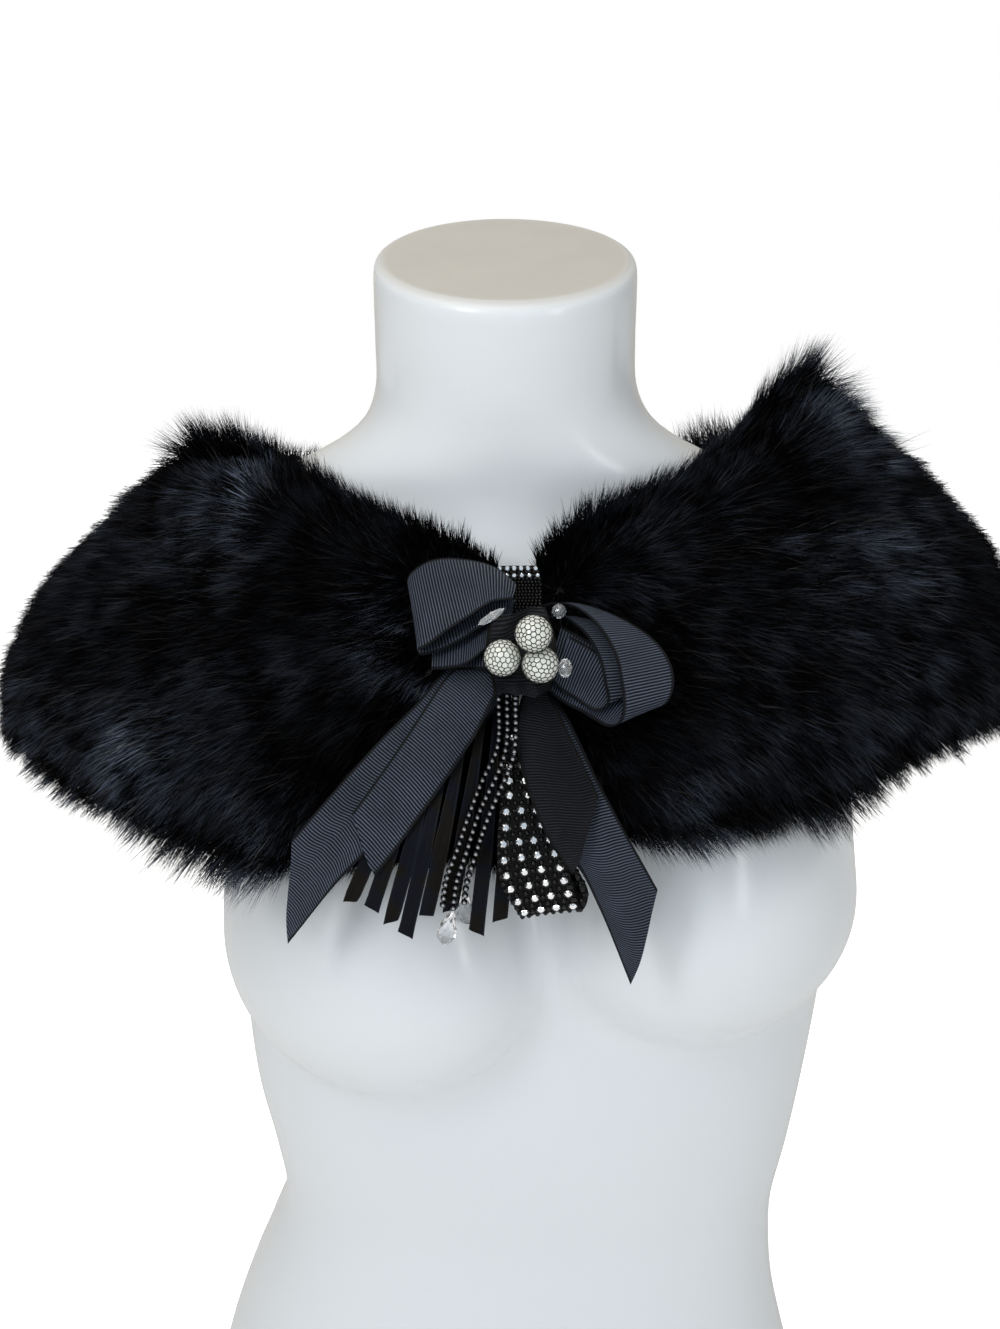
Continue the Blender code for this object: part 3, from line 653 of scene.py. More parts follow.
def ribbed_weave_group():
    """Cross ribs of a grosgrain ribbon with a flat selvedge. Reads the map in metres: across, along."""
    tree, add, given, made = new_group(
        "ribbed weave",
        "ShaderNodeTree",
        (("Pitch", "NodeSocketFloat", 0.0013), ("Selvedge", "NodeSocketFloat", 0.0011)),
        (("Height", "NodeSocketFloat"), ("Crest", "NodeSocketFloat"), ("Edge", "NodeSocketFloat")),
    )
    uv = add("ShaderNodeUVMap", uv_map="cloth").outputs[0]
    parts = add("ShaderNodeSeparateXYZ", {0: uv}).outputs
    edge = add("ShaderNodeAttribute", attribute_name="edge").outputs["Fac"]
    wander = maths(add, "MULTIPLY", noise(add, uv, 160.0, 2.0), 0.0004)
    along = maths(add, "ADD", parts[1], wander)
    turn = maths(add, "MULTIPLY", maths(add, "DIVIDE", along, given["Pitch"]), 2 * math.pi)
    rib = maths(add, "MULTIPLY_ADD", maths(add, "SINE", turn), 0.5)
    rib.node.inputs[2].default_value = 0.5
    body = spread(add, edge, 0.0008, 0.0018)
    thread_turn = maths(add, "MULTIPLY", maths(add, "DIVIDE", parts[0], 0.00045), 2 * math.pi)
    thread = maths(add, "MULTIPLY_ADD", maths(add, "SINE", thread_turn), 0.12)
    thread.node.inputs[2].default_value = 0.12
    groove = spread(add, maths(add, "ABSOLUTE", maths(add, "SUBTRACT", edge, given["Selvedge"])), 0.0001, 0.0005)
    crest = maths(add, "MULTIPLY", rib, maths(add, "MULTIPLY_ADD", body, 0.75))
    crest.node.inputs[1].links[0].from_node.inputs[2].default_value = 0.25
    height = maths(add, "MULTIPLY", maths(add, "ADD", crest, thread), groove)
    join(tree, height, made["Height"])
    join(tree, crest, made["Crest"])
    join(tree, groove, made["Edge"])
    return tree


def ribbon_finish(name, weave, dark, light):
    """Grosgrain with painted light and shade: dark between the ribs as painted shade, lighter on their crests as a
    painted highlight, with a little worn colour variation.
    """
    finish, tree, add, sockets = finish_of(
        name, Roughness=0.5, Sheen_Weight=0.01, Sheen_Roughness=0.4, Specular_IOR_Level=0.16
    )
    ribs = add("ShaderNodeGroup", node_tree=weave).outputs
    cloud = noise(add, object_place(add), 55.0, 3.0)
    # Painted light and shade: the colour runs from the dark value between the ribs to the light value on their crests,
    # broken by a worn cloud
    share = maths(add, "MULTIPLY", maths(add, "POWER", ribs["Crest"], 2.2), spread(add, cloud, 0.3, 0.7, 0.75, 1.0))
    join(tree, blended(add, share, dark, light), sockets["Base Color"])
    join(tree, spread(add, ribs["Crest"], 0.0, 1.0, 0.62, 0.42), sockets["Roughness"])
    bumped(tree, add, sockets, ribs["Height"], 0.0004, 1.0)
    return finish


def plastic_finish():
    """Glossy white plastic, which turns matt where the attribute "cap" is 1, and beige there as a painted reflection
    of a warm room above.
    """
    finish, tree, add, sockets = finish_of(
        "glossy_white_plastic", Roughness=0.23, Coat_Weight=0.1, Coat_Roughness=0.2, Specular_IOR_Level=0.5
    )
    place = object_place(add)
    cap = add("ShaderNodeAttribute", attribute_name="cap").outputs["Fac"]
    cloud = noise(add, place, 6.0, 2.0)
    white = blended(add, cloud, (0.76, 0.795, 0.825), (0.80, 0.835, 0.865))
    # Painted reflection: a warm beige that stands in for the warm room reflected in the neck cap
    painted_warm_reflection = blended(add, noise(add, place, 42.0, 5.0, 0.6), (0.54, 0.525, 0.485), (0.61, 0.595, 0.55))
    join(tree, blended(add, cap, white, painted_warm_reflection), sockets["Base Color"])
    gloss = spread(add, noise(add, place, 17.0, 1.0), 0.2, 0.8, 0.21, 0.25)
    matt = maths(add, "MULTIPLY", cap, 0.35)
    join(tree, maths(add, "ADD", gloss, matt), sockets["Roughness"])
    bumped(tree, add, sockets, noise(add, place, 9.0, 1.0), 0.0008, 0.2)
    return finish


def fur_finish(name, root, tip, roughness, specular):
    """Hair: black at the root, cooler and lighter towards the tip where the attribute "tone" says so; tone holds
    random variation and painted sheen.
    """
    finish, tree, add, sockets = finish_of(name, Roughness=roughness, Specular_IOR_Level=specular)
    run = add("ShaderNodeSeparateXYZ", {0: add("ShaderNodeUVMap", uv_map="strand").outputs[0]}).outputs[1]
    tone = add("ShaderNodeAttribute", attribute_name="tone").outputs["Fac"]
    share = maths(add, "MULTIPLY", spread(add, run, 0.15, 0.9), tone)
    join(tree, blended(add, share, root, tip), sockets["Base Color"])
    join(tree, spread(add, tone, 0.0, 1.0, roughness + 0.1, roughness - 0.06), sockets["Roughness"])
    return finish


def hide_finish(name, colour, roughness, scale):
    """The skin under the fur, or the lining inside it."""
    finish, tree, add, sockets = finish_of(name, Roughness=roughness, Specular_IOR_Level=0.2)
    cloud = noise(add, object_place(add), scale, 4.0)
    lighter = tuple(c * 1.6 for c in colour)
    join(tree, blended(add, cloud, colour, lighter), sockets["Base Color"])
    bumped(tree, add, sockets, cloud, 0.0004, 0.5)
    return finish


def satin_finish():
    """Black satin that leans to brown in one ribbon and to navy in the next, with a fine paler selvedge."""
    finish, tree, add, sockets = finish_of("black_satin", Roughness=0.4, Anisotropic=0.5, Specular_IOR_Level=0.06)
    uv = add("ShaderNodeUVMap", uv_map="cloth").outputs[0]
    edge = add("ShaderNodeAttribute", attribute_name="edge").outputs["Fac"]
    rim = spread(add, maths(add, "ABSOLUTE", maths(add, "SUBTRACT", edge, 0.0004)), 0.0001, 0.0004, 1.0, 0.0)
    streak = noise(add, add("ShaderNodeMapping", {"Vector": uv, "Scale": (2600.0, 60.0, 1.0)}).outputs[0], 1.0, 2.0)
    tint = spread(add, noise(add, object_place(add), 110.0, 0.0), 0.4, 0.6)
    deep = blended(add, tint, (0.002, 0.0017, 0.0014), (0.0014, 0.0018, 0.003))
    pale = blended(add, tint, (0.011, 0.0095, 0.008), (0.0075, 0.009, 0.015))
    join(tree, blended(add, maths(add, "ADD", streak, maths(add, "MULTIPLY", rim, 0.8), clamp=True), deep, pale), sockets["Base Color"])
    join(tree, spread(add, streak, 0.3, 0.7, 0.36, 0.5), sockets["Roughness"])
    bumped(tree, add, sockets, maths(add, "ADD", streak, rim), 0.00012, 0.6)
    return finish


def net_finish():
    finish, tree, add, sockets = finish_of("black_net", Roughness=0.6, Specular_IOR_Level=0.12)
    uv = add("ShaderNodeUVMap", uv_map="cloth").outputs[0]
    cells = add("ShaderNodeTexVoronoi", {"Vector": uv, "Scale": 900.0, "Randomness": 0.3}, feature="DISTANCE_TO_EDGE").outputs[0]
    thread = spread(add, cells, 0.06, 0.2, 1.0, 0.0)
    join(tree, blended(add, thread, (0.001, 0.001, 0.001), (0.008, 0.008, 0.009)), sockets["Base Color"])
    bumped(tree, add, sockets, thread, 0.0003, 0.8)
    return finish


def bead_finish():
    """Black glass, with a painted glint: a pale grey disc on the bead's face where its glint attribute is 1."""
    finish, tree, add, sockets = finish_of(
        "black_glass_bead", Roughness=0.15, Coat_Weight=0.35, Coat_Roughness=0.05, Specular_IOR_Level=0.12
    )
    cloud = noise(add, object_place(add), 700.0, 2.0)
    black = blended(add, cloud, (0.0006, 0.0006, 0.0008), (0.002, 0.002, 0.0025))
    painted_glint = add("ShaderNodeAttribute", attribute_name="painted_glint").outputs["Fac"]
    # Painted glint: the pale grey disc on the bead's face
    join(tree, blended(add, painted_glint, black, (0.4, 0.42, 0.45)), sockets["Base Color"])
    join(tree, spread(add, cloud, 0.3, 0.7, 0.1, 0.2), sockets["Roughness"])
    return finish


def stone_finish():
    """Cut glass over bright foil."""
    finish, tree, add, sockets = finish_of(
        "foiled_glass_stone", Metallic=1.0, Roughness=0.08, Coat_Weight=1.0, Coat_Roughness=0.02
    )
    tone = add("ShaderNodeAttribute", attribute_name="tone").outputs["Fac"]
    cloud = noise(add, object_place(add), 900.0, 2.0)
    join(tree, blended(add, maths(add, "MULTIPLY", tone, cloud), (0.95, 0.96, 0.98), (0.72, 0.75, 0.80)), sockets["Base Color"])
    join(tree, spread(add, cloud, 0.3, 0.7, 0.05, 0.16), sockets["Roughness"])
    return finish


def glass_finish(name, clear):
    finish, tree, add, sockets = finish_of(name, Roughness=0.0, IOR=1.7, Transmission_Weight=clear)
    cloud = noise(add, object_place(add), 260.0, 2.0)
    join(tree, blended(add, cloud, (0.90, 0.93, 0.97), (1.0, 1.0, 1.0)), sockets["Base Color"])
    join(tree, spread(add, cloud, 0.5, 0.8, 0.0, 0.05), sockets["Roughness"])
    return finish


def ball_finish():
    finish, tree, add, sockets = finish_of(
        "off_white_ball", Roughness=0.3, Coat_Weight=0.6, Coat_Roughness=0.22, Specular_IOR_Level=0.5
    )
    cloud = noise(add, object_place(add), 190.0, 3.0)
    join(tree, blended(add, cloud, (0.72, 0.745, 0.67), (0.86, 0.885, 0.83)), sockets["Base Color"])
    join(tree, spread(add, cloud, 0.3, 0.7, 0.18, 0.3), sockets["Roughness"])
    return finish


def thread_finish():
    finish, tree, add, sockets = finish_of("black_thread", Roughness=0.6, Specular_IOR_Level=0.3)
    cloud = noise(add, object_place(add), 1500.0, 2.0)
    join(tree, blended(add, cloud, (0.004, 0.004, 0.004), (0.02, 0.02, 0.02)), sockets["Base Color"])
    return finish


# Dress form

def softened(rings):
    """Evens out the depths below the shoulders, so the bust runs into the chest with no crease."""
    sides = len(rings[0])
    for _ in range(FORM_PASSES):
        depths = [[p.y for p in ring] for ring in rings]
        for j in range(1, len(rings) - 1):
            if not 0.2 < rings[j][0].z < 0.54:
                continue
            for k, p in enumerate(rings[j]):
                beside = depths[j][k - 1] + depths[j][(k + 1) % sides]
                p.y = 0.5 * depths[j][k] + 0.125 * (beside + depths[j - 1][k] + depths[j + 1][k])


def make_form_shell(plastic):
    """The form again, with finer rings from the same table, a soft rim round its neck cap and a closed base."""
    last = len(FORM_RINGS) - 1
    levels = [level for level in form_levels() if level < last - 2]
    levels += [last - 2 + k / 8 for k in range(17)]
    turns = [2 * math.pi * k / FORM_SEGMENTS for k in range(FORM_SEGMENTS)]
    rings = [[form_point(row_at(FORM_RINGS, level), a) for a in turns] for level in levels]
    softened(rings)
    # How far the plastic turns to the matt cap with its painted beige reflection
    caps = [0.7 * smoothstep(last - 1.1, last, level) for level in levels]
    low = sum(rings[0], Vector()) / FORM_SEGMENTS
    high = sum(rings[-1], Vector()) / FORM_SEGMENTS
    rings = [[low.lerp(p, s) for p in rings[0]] for s in (0.3, 0.7)] + rings
    rings += [[high.lerp(p, s) for p in rings[-1]] for s in (0.985, 0.95, 0.7, 0.4, 0.12)]
    caps = [0.0, 0.0] + caps + [0.85, 1.0, 1.0, 1.0, 1.0]
    points = [p for ring in rings for p in ring] + [low, high]
    total, sides = len(rings), FORM_SEGMENTS
    faces = [
        (i * sides + k, i * sides + (k + 1) % sides, (i + 1) * sides + (k + 1) % sides, (i + 1) * sides + k)
        for i in range(total - 1)
        for k in range(sides)
    ]
    for k in range(sides):
        n = (k + 1) % sides
        faces += [(n, k, total * sides), ((total - 1) * sides + k, (total - 1) * sides + n, total * sides + 1)]
    mesh = plain_mesh("form_shell", points, faces, angle=60)
    values = [cap for cap in caps for _ in range(sides)] + [0.0, 1.0]
    mesh.attributes.new("cap", "FLOAT", "POINT").data.foreach_set("value", values)
    return placed(shown("form_shell", mesh, plastic), "form_plastic", "dress_form")


# Grids of points, and the shells and ribbons made from them

def refined(grid, along, across):
    """The grid with more lines and more points to a line, on smooth curves through the given ones."""
    lines = [
        [row_at(line, i / across) for i in range((len(line) - 1) * across + 1)]
        for line in ([tuple(p) for p in line] for line in grid)
    ]
    columns = list(zip(*lines))
    return [
        [Vector(row_at(column, j / along)) for column in columns]
        for j in range((len(grid) - 1) * along + 1)
    ]


def shell_of(name, front, back, angle=50, by_edge=False):
    """A closed shell between two grids, with its map in metres and its distance from the long edges.

    The map runs with the middle of the sheet or, on a cut end, with each line along it.
    """
    lines, width = len(front), len(front[0])
    total = lines * width
    points = [p for line in front for p in line] + [p for line in back for p in line]
    rim = list(range(width)) + [j * width + width - 1 for j in range(1, lines)]
    rim += [(lines - 1) * width + i for i in range(width - 2, -1, -1)]
    rim += [j * width for j in range(lines - 2, 0, -1)]
    faces = []
    for j in range(lines - 1):
        for i in range(width - 1):
            a, b = j * width + i, (j + 1) * width + i
            faces.append((a, a + 1, b + 1, b))
            faces.append((total + a, total + b, total + b + 1, total + a + 1))
    faces += [(a, total + a, total + b, b) for a, b in zip(rim, rim[1:] + rim[:1])]
    mesh = plain_mesh(name, points, faces, angle=angle)
    middle = width // 2
    runs = [[0.0] * width]
    for before, after in zip(front, front[1:]):
        grown_by = [(b - a).length for a, b in zip(before, after)]
        if not by_edge:
            grown_by = [grown_by[middle]] * width
        runs.append([run + step for run, step in zip(runs[-1], grown_by)])
    places, edges = [], []
    for line, run in zip(front, runs):
        steps = [0.0]
        for a, b in zip(line, line[1:]):
            steps.append(steps[-1] + (b - a).length)
        places += list(zip(steps, run))
        edges += [min(u, steps[-1] - u) for u in steps]
    places, edges = places * 2, edges * 2
    layer = mesh.uv_layers.new(name="cloth")
    layer.data.foreach_set("uv", [c for loop in mesh.loops for c in places[loop.vertex_index]])
    mesh.attributes.new("edge", "FLOAT", "POINT").data.foreach_set("value", edges)
    return mesh


def ribbon_shell(name, grid, wall, by_edge=False):
    """A closed ribbon of this wall, in millimetres, around a grid."""
    normals = grid_normals(grid)
    half = wall * MM / 2
    front = [[p + n * half for p, n in zip(line, side)] for line, side in zip(grid, normals)]
    back = [[p - n * half for p, n in zip(line, side)] for line, side in zip(grid, normals)]
    return shell_of(name, front, back, by_edge=by_edge)


def moved_to(grids, node, wall):
    """The grids moved along Y to where the solid stands, whose wall is in millimetres."""
    normals = [grid_normals(grid) for grid in grids]
    first = min(
        p.y - abs(n.y) * wall * MM / 2
        for grid, sides in zip(grids, normals)
        for line, side in zip(grid, sides)
        for p, n in zip(line, side)
    )
    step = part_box(node)[0].y - first
    for grid in grids:
        for line in grid:
            for p in line:
                p.y += step
    return grids


def joined(name, meshes):
    """One mesh that holds these meshes, with their maps and attributes."""
    work = bmesh.new()
    for mesh in meshes:
        work.from_mesh(mesh)
    mesh = bpy.data.meshes.new(name)
    work.to_mesh(mesh)
    work.free()
    mesh.shade_smooth()
    mesh.set_sharp_from_angle(angle=math.radians(50))
    return mesh


class Pile:
    """What later ribbons are laid on."""

    def __init__(self, *names):
        self.trees = []
        self.add(*names)

    def add(self, *names):
        self.trees.append(solid_tree(*names))


# Bow

def make_trim(finishes):
    """The ribbons and the net loop, from the back layer to the front one, and the lines that the bead strands follow.
    """
    light, dark, satin, net = (finishes[k] for k in ("ribbon_light", "ribbon_dark", "satin", "net"))
    pile = Pile("dress_form", "closure_net", "fur_front_left", "fur_back", "fur_front_right")
    grids = {}

    strips = fringe_lines(pile)
    moved_to(strips, "ribbon_fringe", FRINGE_WALL)
    meshes = [ribbon_shell(f"satin_{k}", slanted(refined(s, 3, 4), k), 0.4) for k, s in enumerate(strips)]
    placed(shown("satin_ribbons", joined("satin_ribbons", meshes), satin), "satin_ribbon", "ribbon_fringe")
    pile.add("ribbon_fringe")

    for name, rows, end_a, end_b, along, across in TAILS:
        grid = ribbon_grid(rows, (end_a, end_b), (along, across), pile, RIBBON_WALL, HANG_FALL, 4)
        moved_to([grid], name, RIBBON_WALL)
        grids[name] = refined(grid, 4, 4)
        made = shown(name + "_cloth", ribbon_shell(name, grids[name], 0.5, by_edge=name != "net_loop"))
        if name == "net_loop":
            made.data.materials.append(net)
            placed(made, "stone_net", name)
        else:
            made.data.materials.append(dark if "right_inner" in name else light)
            placed(made, "ribbed_ribbon", name)
        pile.add(name)

    strands = bead_lines(pile)
    moved_to(strands, "bead_strands", BEAD)
    pile.add("bead_strands", "crystal_drop_back", "crystal_drop_front")

    for group in LOOPS:
        for name, rows, _ in group:
            grid = ribbon_grid(rows, (1, 1), LOOP_CELLS, pile, RIBBON_WALL, 0.0, 5.5)
            moved_to([grid], name, RIBBON_WALL)
            grids[name] = refined(grid, 5, 8)
            if name == "bow_loop_left_upper":
                rolled_back(grids[name])
            made = shown(name + "_cloth", ribbon_shell(name, grids[name], 0.5), light)
            placed(made, "ribbed_ribbon", name)
        pile.add(*[name for name, _, _ in group])
    grid = ribbon_grid(KNOT_PAD, (1, 1), (8, 8), pile, PAD_WALL, 0.0, 8)
    moved_to([grid], "bow_knot", PAD_WALL)
    grid = refined(grid, 3, 3)
    made = shown("bow_knot_cloth", ribbon_shell("bow_knot", grid, 1.0), dark)
    placed(made, "ribbed_ribbon", "bow_knot")
    return grids, strands


def rolled_back(grid):
    """Turns the upper third of a loop's front ply back over its fold."""
    for j, line in enumerate(grid):
        front_ply = 1 - smoothstep(0.45, 0.6, j / (len(grid) - 1))
        for i, p in enumerate(line):
            above = max(0.0, 1 - i / (len(line) - 1) / 0.5)
            p.y += LOOP_ROLL * MM * front_ply * above * above


def fringe_lines(pile):
    """The satin ribbons as narrow grids: two edges and a number of rows."""
    rows = 14
    shares = [j / (rows - 1) for j in range(rows)]
    low, high = FRINGE_WIDTH
    strips = []
    for a, b, c, d in FRINGE:
        strip = [(a + (c - a) * s, b + (d - b) * s) for s in shares]
        wide = [low + (high - low) * min(1, s / FRINGE_WIDENS) for s in shares]
        strips.append(comb_lines(strip, wide, FRINGE_WALL, pile))
    return strips


def comb_lines(strip, wide, wall, pile):
    lines = []
    for j, (x, z) in enumerate(strip):
        ahead, behind = strip[min(j + 1, len(strip) - 1)], strip[max(j - 1, 0)]
        run = Vector((ahead[0] - behind[0], ahead[1] - behind[1])).normalized() * wide[j] / 2
        sides = ((x + run.y, z - run.x), (x - run.y, z + run.x))
        lines.append([laid(pile, *side, 0, wall, HANG_FALL, 4) for side in sides])
    return smoothed(lines)


def slanted(grid, number):
    """A strip whose end is cut at a slant, one way or the other."""
    lean = (2.6, -1.6, 3.4, -2.2, 1.2, 3.0, -3.0, 2.0, -1.2)[number % 9] * MM
    for back, share in enumerate((1.0, 0.66, 0.33)):
        line = grid[-1 - back]
        for i, p in enumerate(line):
            p.z += lean * share * (i / (len(line) - 1) - 0.5)
    return grid


def bead_lines(pile):
    """The three bead strands, each as a narrow grid."""
    rows = 17
    middle = [row_at(BEADS, (len(BEADS) - 1) * j / (rows - 1)) for j in range(rows)]
    strips = [[], [], []]
    for j, (x, z, apart) in enumerate(middle):
        ahead, behind = middle[min(j + 1, rows - 1)], middle[max(j - 1, 0)]
        run = Vector((ahead[0] - behind[0], ahead[1] - behind[1])).normalized() * apart
        for strip, side in zip(strips, (1, 0, -1)):
            strip.append((x + run.y * side, z - run.x * side))
    return [comb_lines(strip, [BEAD] * rows, BEAD, pile) for strip in strips]


# Beads, stones and netting

def set_out_tree():
    """Copies of one small piece on points that carry their facing, their run and their size."""
    tree, add, given, made = new_group(
        "set out on points",
        "GeometryNodeTree",
        (
            ("Geometry", "NodeSocketGeometry", None),
            ("Piece", "NodeSocketObject", None),
            ("Size", "NodeSocketFloat", 0.001),
            ("Turn", "NodeSocketFloat", 0.0),
            ("Finish", "NodeSocketMaterial", None),
            ("Seed", "NodeSocketInt", 1),
        ),
        (("Geometry", "NodeSocketGeometry"),),
    )
    facing = add("GeometryNodeInputNamedAttribute", {"Name": "facing"}, data_type="FLOAT_VECTOR").outputs[0]
    run = add("GeometryNodeInputNamedAttribute", {"Name": "run"}, data_type="FLOAT_VECTOR").outputs[0]
    axes = add(
        "FunctionNodeAxesToRotation",
        {"Primary Axis": facing, "Secondary Axis": run},
        primary_axis="Z",
        secondary_axis="Y",
    ).outputs[0]
    spin = add("FunctionNodeRandomValue", {2: 0.0, 3: 1.0, "Seed": given["Seed"]}, data_type="FLOAT").outputs[1]
    by = add("ShaderNodeCombineXYZ", {2: maths(add, "MULTIPLY", spin, given["Turn"])}).outputs[0]
    turned = add("FunctionNodeRotateRotation", {0: axes, 1: by}, rotation_space="LOCAL").outputs[0]
    piece = add("GeometryNodeObjectInfo", {"Object": given["Piece"]}).outputs["Geometry"]
    points = add("GeometryNodeMeshToPoints", {"Mesh": given["Geometry"]}).outputs[0]
    copies = add(
        "GeometryNodeInstanceOnPoints",
        {"Points": points, "Instance": piece, "Rotation": turned, "Scale": given["Size"]},
    ).outputs[0]
    tone = add("FunctionNodeRandomValue", {2: 0.0, 3: 1.0, "Seed": 7}, data_type="FLOAT").outputs[1]
    copies = add(
        "GeometryNodeStoreNamedAttribute",
        {"Geometry": copies, "Name": "tone", "Value": tone},
        data_type="FLOAT",
        domain="INSTANCE",
    ).outputs[0]
    real = add("GeometryNodeRealizeInstances", {"Geometry": copies}).outputs[0]
    done = add("GeometryNodeSetMaterial", {"Geometry": real, "Material": given["Finish"]}).outputs[0]
    join(tree, done, made["Geometry"])
    return tree


def points_mesh(name, places):
    """Loose points that carry which way a small piece faces and runs: (point, facing, run)."""
    mesh = bpy.data.meshes.new(name)
    mesh.from_pydata([tuple(p) for p, _, _ in places], [], [])
    for label, column in (("facing", 1), ("run", 2)):
        values = [c for place in places for c in place[column]]
        mesh.attributes.new(label, "FLOAT_VECTOR", "POINT").data.foreach_set("vector", values)
    return mesh


def set_out(name, places, tree, piece, size, finish, turn=0.0, seed=1):
    values = {"Piece": piece, "Size": size * MM, "Turn": turn, "Finish": finish, "Seed": seed}
    return grown(name, points_mesh(name, places), tree, values, finish)


def pattern_piece(name, mesh):
    """A small piece that is only copied from, and removed at the end."""
    made = bpy.data.objects.new(name, mesh)
    bpy.context.scene.collection.objects.link(made)
    made.hide_render = True
    return made


def ring_solid(profile, sides, twist=0.0, smooth=False, painted_glint=0.0):
    """A solid of one unit across about Z: (radius, height) rings from the bottom point to the top point.

    Its glint attribute is 1 on its top, as far out as the given glint radius, and marks a painted glint.
    """
    points, faces = [(0, 0, profile[0][1])], []
    for number, (radius, height) in enumerate(profile[1:-1]):
        for k in range(sides):
            turn = 2 * math.pi * (k + twist * number) / sides
            points.append((radius * math.cos(turn), radius * math.sin(turn), height))
    points.append((0, 0, profile[-1][1]))
    last, rings = len(points) - 1, len(profile) - 2
    for k in range(sides):
        n = (k + 1) % sides
        faces.append((0, 1 + n, 1 + k))
        for r in range(rings - 1):
            a, b = 1 + r * sides + k, 1 + r * sides + n
            if twist:
                faces += [(a, b, a + sides), (b, b + sides, a + sides)]
            else:
                faces.append((a, b, b + sides, a + sides))
        faces.append((1 + (rings - 1) * sides + k, 1 + (rings - 1) * sides + n, last))
    mesh = plain_mesh("ring_solid", points, faces, smooth=smooth, angle=60)
    painted_glints = [float(v.co.z > 0 and math.hypot(v.co.x, v.co.y) < painted_glint) for v in mesh.vertices]
    mesh.attributes.new("painted_glint", "FLOAT", "POINT").data.foreach_set("value", painted_glints)
    return mesh


def along_strand(grid, pitch, radius):
    """Places for beads at this pitch along the middle of a narrow grid."""
    line = [(a + b) / 2 for a, b in (refined_line for refined_line in ((l[0], l[-1]) for l in refined(grid, 4, 1)))]
    places, want, gone = [], radius * MM, 0.0
    for a, b in zip(line, line[1:]):
        length = (b - a).length
        while gone + length >= want:
            point = a.lerp(b, (want - gone) / length)
            places.append((point, (0, -1, 0), (b - a).normalized()))
            want += pitch * MM
        gone += length
    return places


def over_net(grid, pitch, until=1.0, lift=0.3):
    """Places for stones and for the beads between them, over the outer face of a net grid."""
    normals = grid_normals(grid)
    last, width = len(grid) - 1, len(grid[0]) - 1

    def at(place, t):
        j, i = min(int(place), last - 1), min(int(t * width), width - 1)
        s, r = place - j, t * width - i
        top = grid[j][i].lerp(grid[j][i + 1], r)
        low = grid[j + 1][i].lerp(grid[j + 1][i + 1], r)
        face = -normals[j][i].lerp(normals[j + 1][i + 1], 0.5).normalized()
        return top.lerp(low, s) + face * lift * MM, face, (low - top).normalized()

    stones, beads = [], []
    runs = [0.0]
    for j in range(last):
        runs.append(runs[-1] + (grid[j + 1][width // 2] - grid[j][width // 2]).length)
    rows = int(runs[-1] * until / (pitch * MM))
    for k in range(rows + 1):
        for half in (0, 1):
            want = (k + 0.45 + half * 0.5) * pitch * MM
            if want > runs[-1] * until:
                break
            j = max(j for j in range(last) if runs[j] <= want)
            place = min(j + (want - runs[j]) / (runs[j + 1] - runs[j]), last)
            across = (grid[j][-1] - grid[j][0]).length
            count = max(1, round(across / (pitch * MM)))
            for n in range(count):
                if half == 0:
                    stones.append(at(place, (n + 0.5) / count))
            for n in range(2 * count + (1 if half else 0)):
                t = (n + (0.0 if half == 0 else 0.25)) / (2 * count)
                if half == 0 and n % 2 == 1:
                    continue
                beads.append(at(place, min(max(t, 0.04), 0.96)))
    return stones, beads


def ball_net_tree():
    """A honeycomb net over a ball: the edges of a dual of an icosphere, as thin threads."""
    tree, add, given, made = new_group(
        "net over a ball",
        "GeometryNodeTree",
        (
            ("Geometry", "NodeSocketGeometry", None),
            ("Diameter", "NodeSocketFloat", 0.0154),
            ("Thread", "NodeSocketFloat", 0.0002),
            ("Stretch", "NodeSocketFloat", 0.0006),
            ("Centre", "NodeSocketVector", None),
            ("Turn", "NodeSocketVector", None),
            ("Finish", "NodeSocketMaterial", None),
        ),
        (("Geometry", "NodeSocketGeometry"),),
    )
    ball = add("GeometryNodeMeshIcoSphere", {"Radius": 1.0, "Subdivisions": 3}).outputs[0]
    cells = add("GeometryNodeDualMesh", {"Mesh": ball}).outputs[0]
    place = add("GeometryNodeInputPosition").outputs[0]
    wander = add("ShaderNodeTexNoise", {"Vector": place, "Scale": 2.2, "Detail": 1.0}).outputs["Color"]
    shifted = add("ShaderNodeVectorMath", {0: wander, 1: (0.5, 0.5, 0.5)}, operation="SUBTRACT").outputs[0]
    drawn = add("ShaderNodeVectorMath", {0: shifted, 1: (0.22, 0.22, 0.22)}, operation="MULTIPLY").outputs[0]
    pulled = add("ShaderNodeVectorMath", {0: place, 1: drawn}, operation="ADD").outputs[0]
    onto = add("ShaderNodeVectorMath", {0: pulled}, operation="NORMALIZE").outputs[0]
    radius = maths(add, "ADD", maths(add, "MULTIPLY", given["Diameter"], 0.5), maths(add, "MULTIPLY", given["Thread"], 0.2))
    sized = add("ShaderNodeVectorMath", {0: onto, "Scale": radius}, operation="SCALE").outputs[0]
    cells = add("GeometryNodeSetPosition", {"Geometry": cells, "Position": sized}).outputs[0]
    threads = add("GeometryNodeMeshToCurve", {"Mesh": cells}).outputs[0]
    circle = add("GeometryNodeCurvePrimitiveCircle", {"Resolution": 4, "Radius": maths(add, "MULTIPLY", given["Thread"], 0.5)}).outputs[0]
    tubes = add("GeometryNodeCurveToMesh", {"Curve": threads, "Profile Curve": circle}).outputs[0]
    moved = add("GeometryNodeTransform", {"Geometry": tubes, "Translation": given["Centre"], "Rotation": given["Turn"]}).outputs[0]
    real = add("GeometryNodeRealizeInstances", {"Geometry": moved}).outputs[0]
    done = add("GeometryNodeSetMaterial", {"Geometry": real, "Material": given["Finish"]}).outputs[0]
    join(tree, done, made["Geometry"])
    return tree


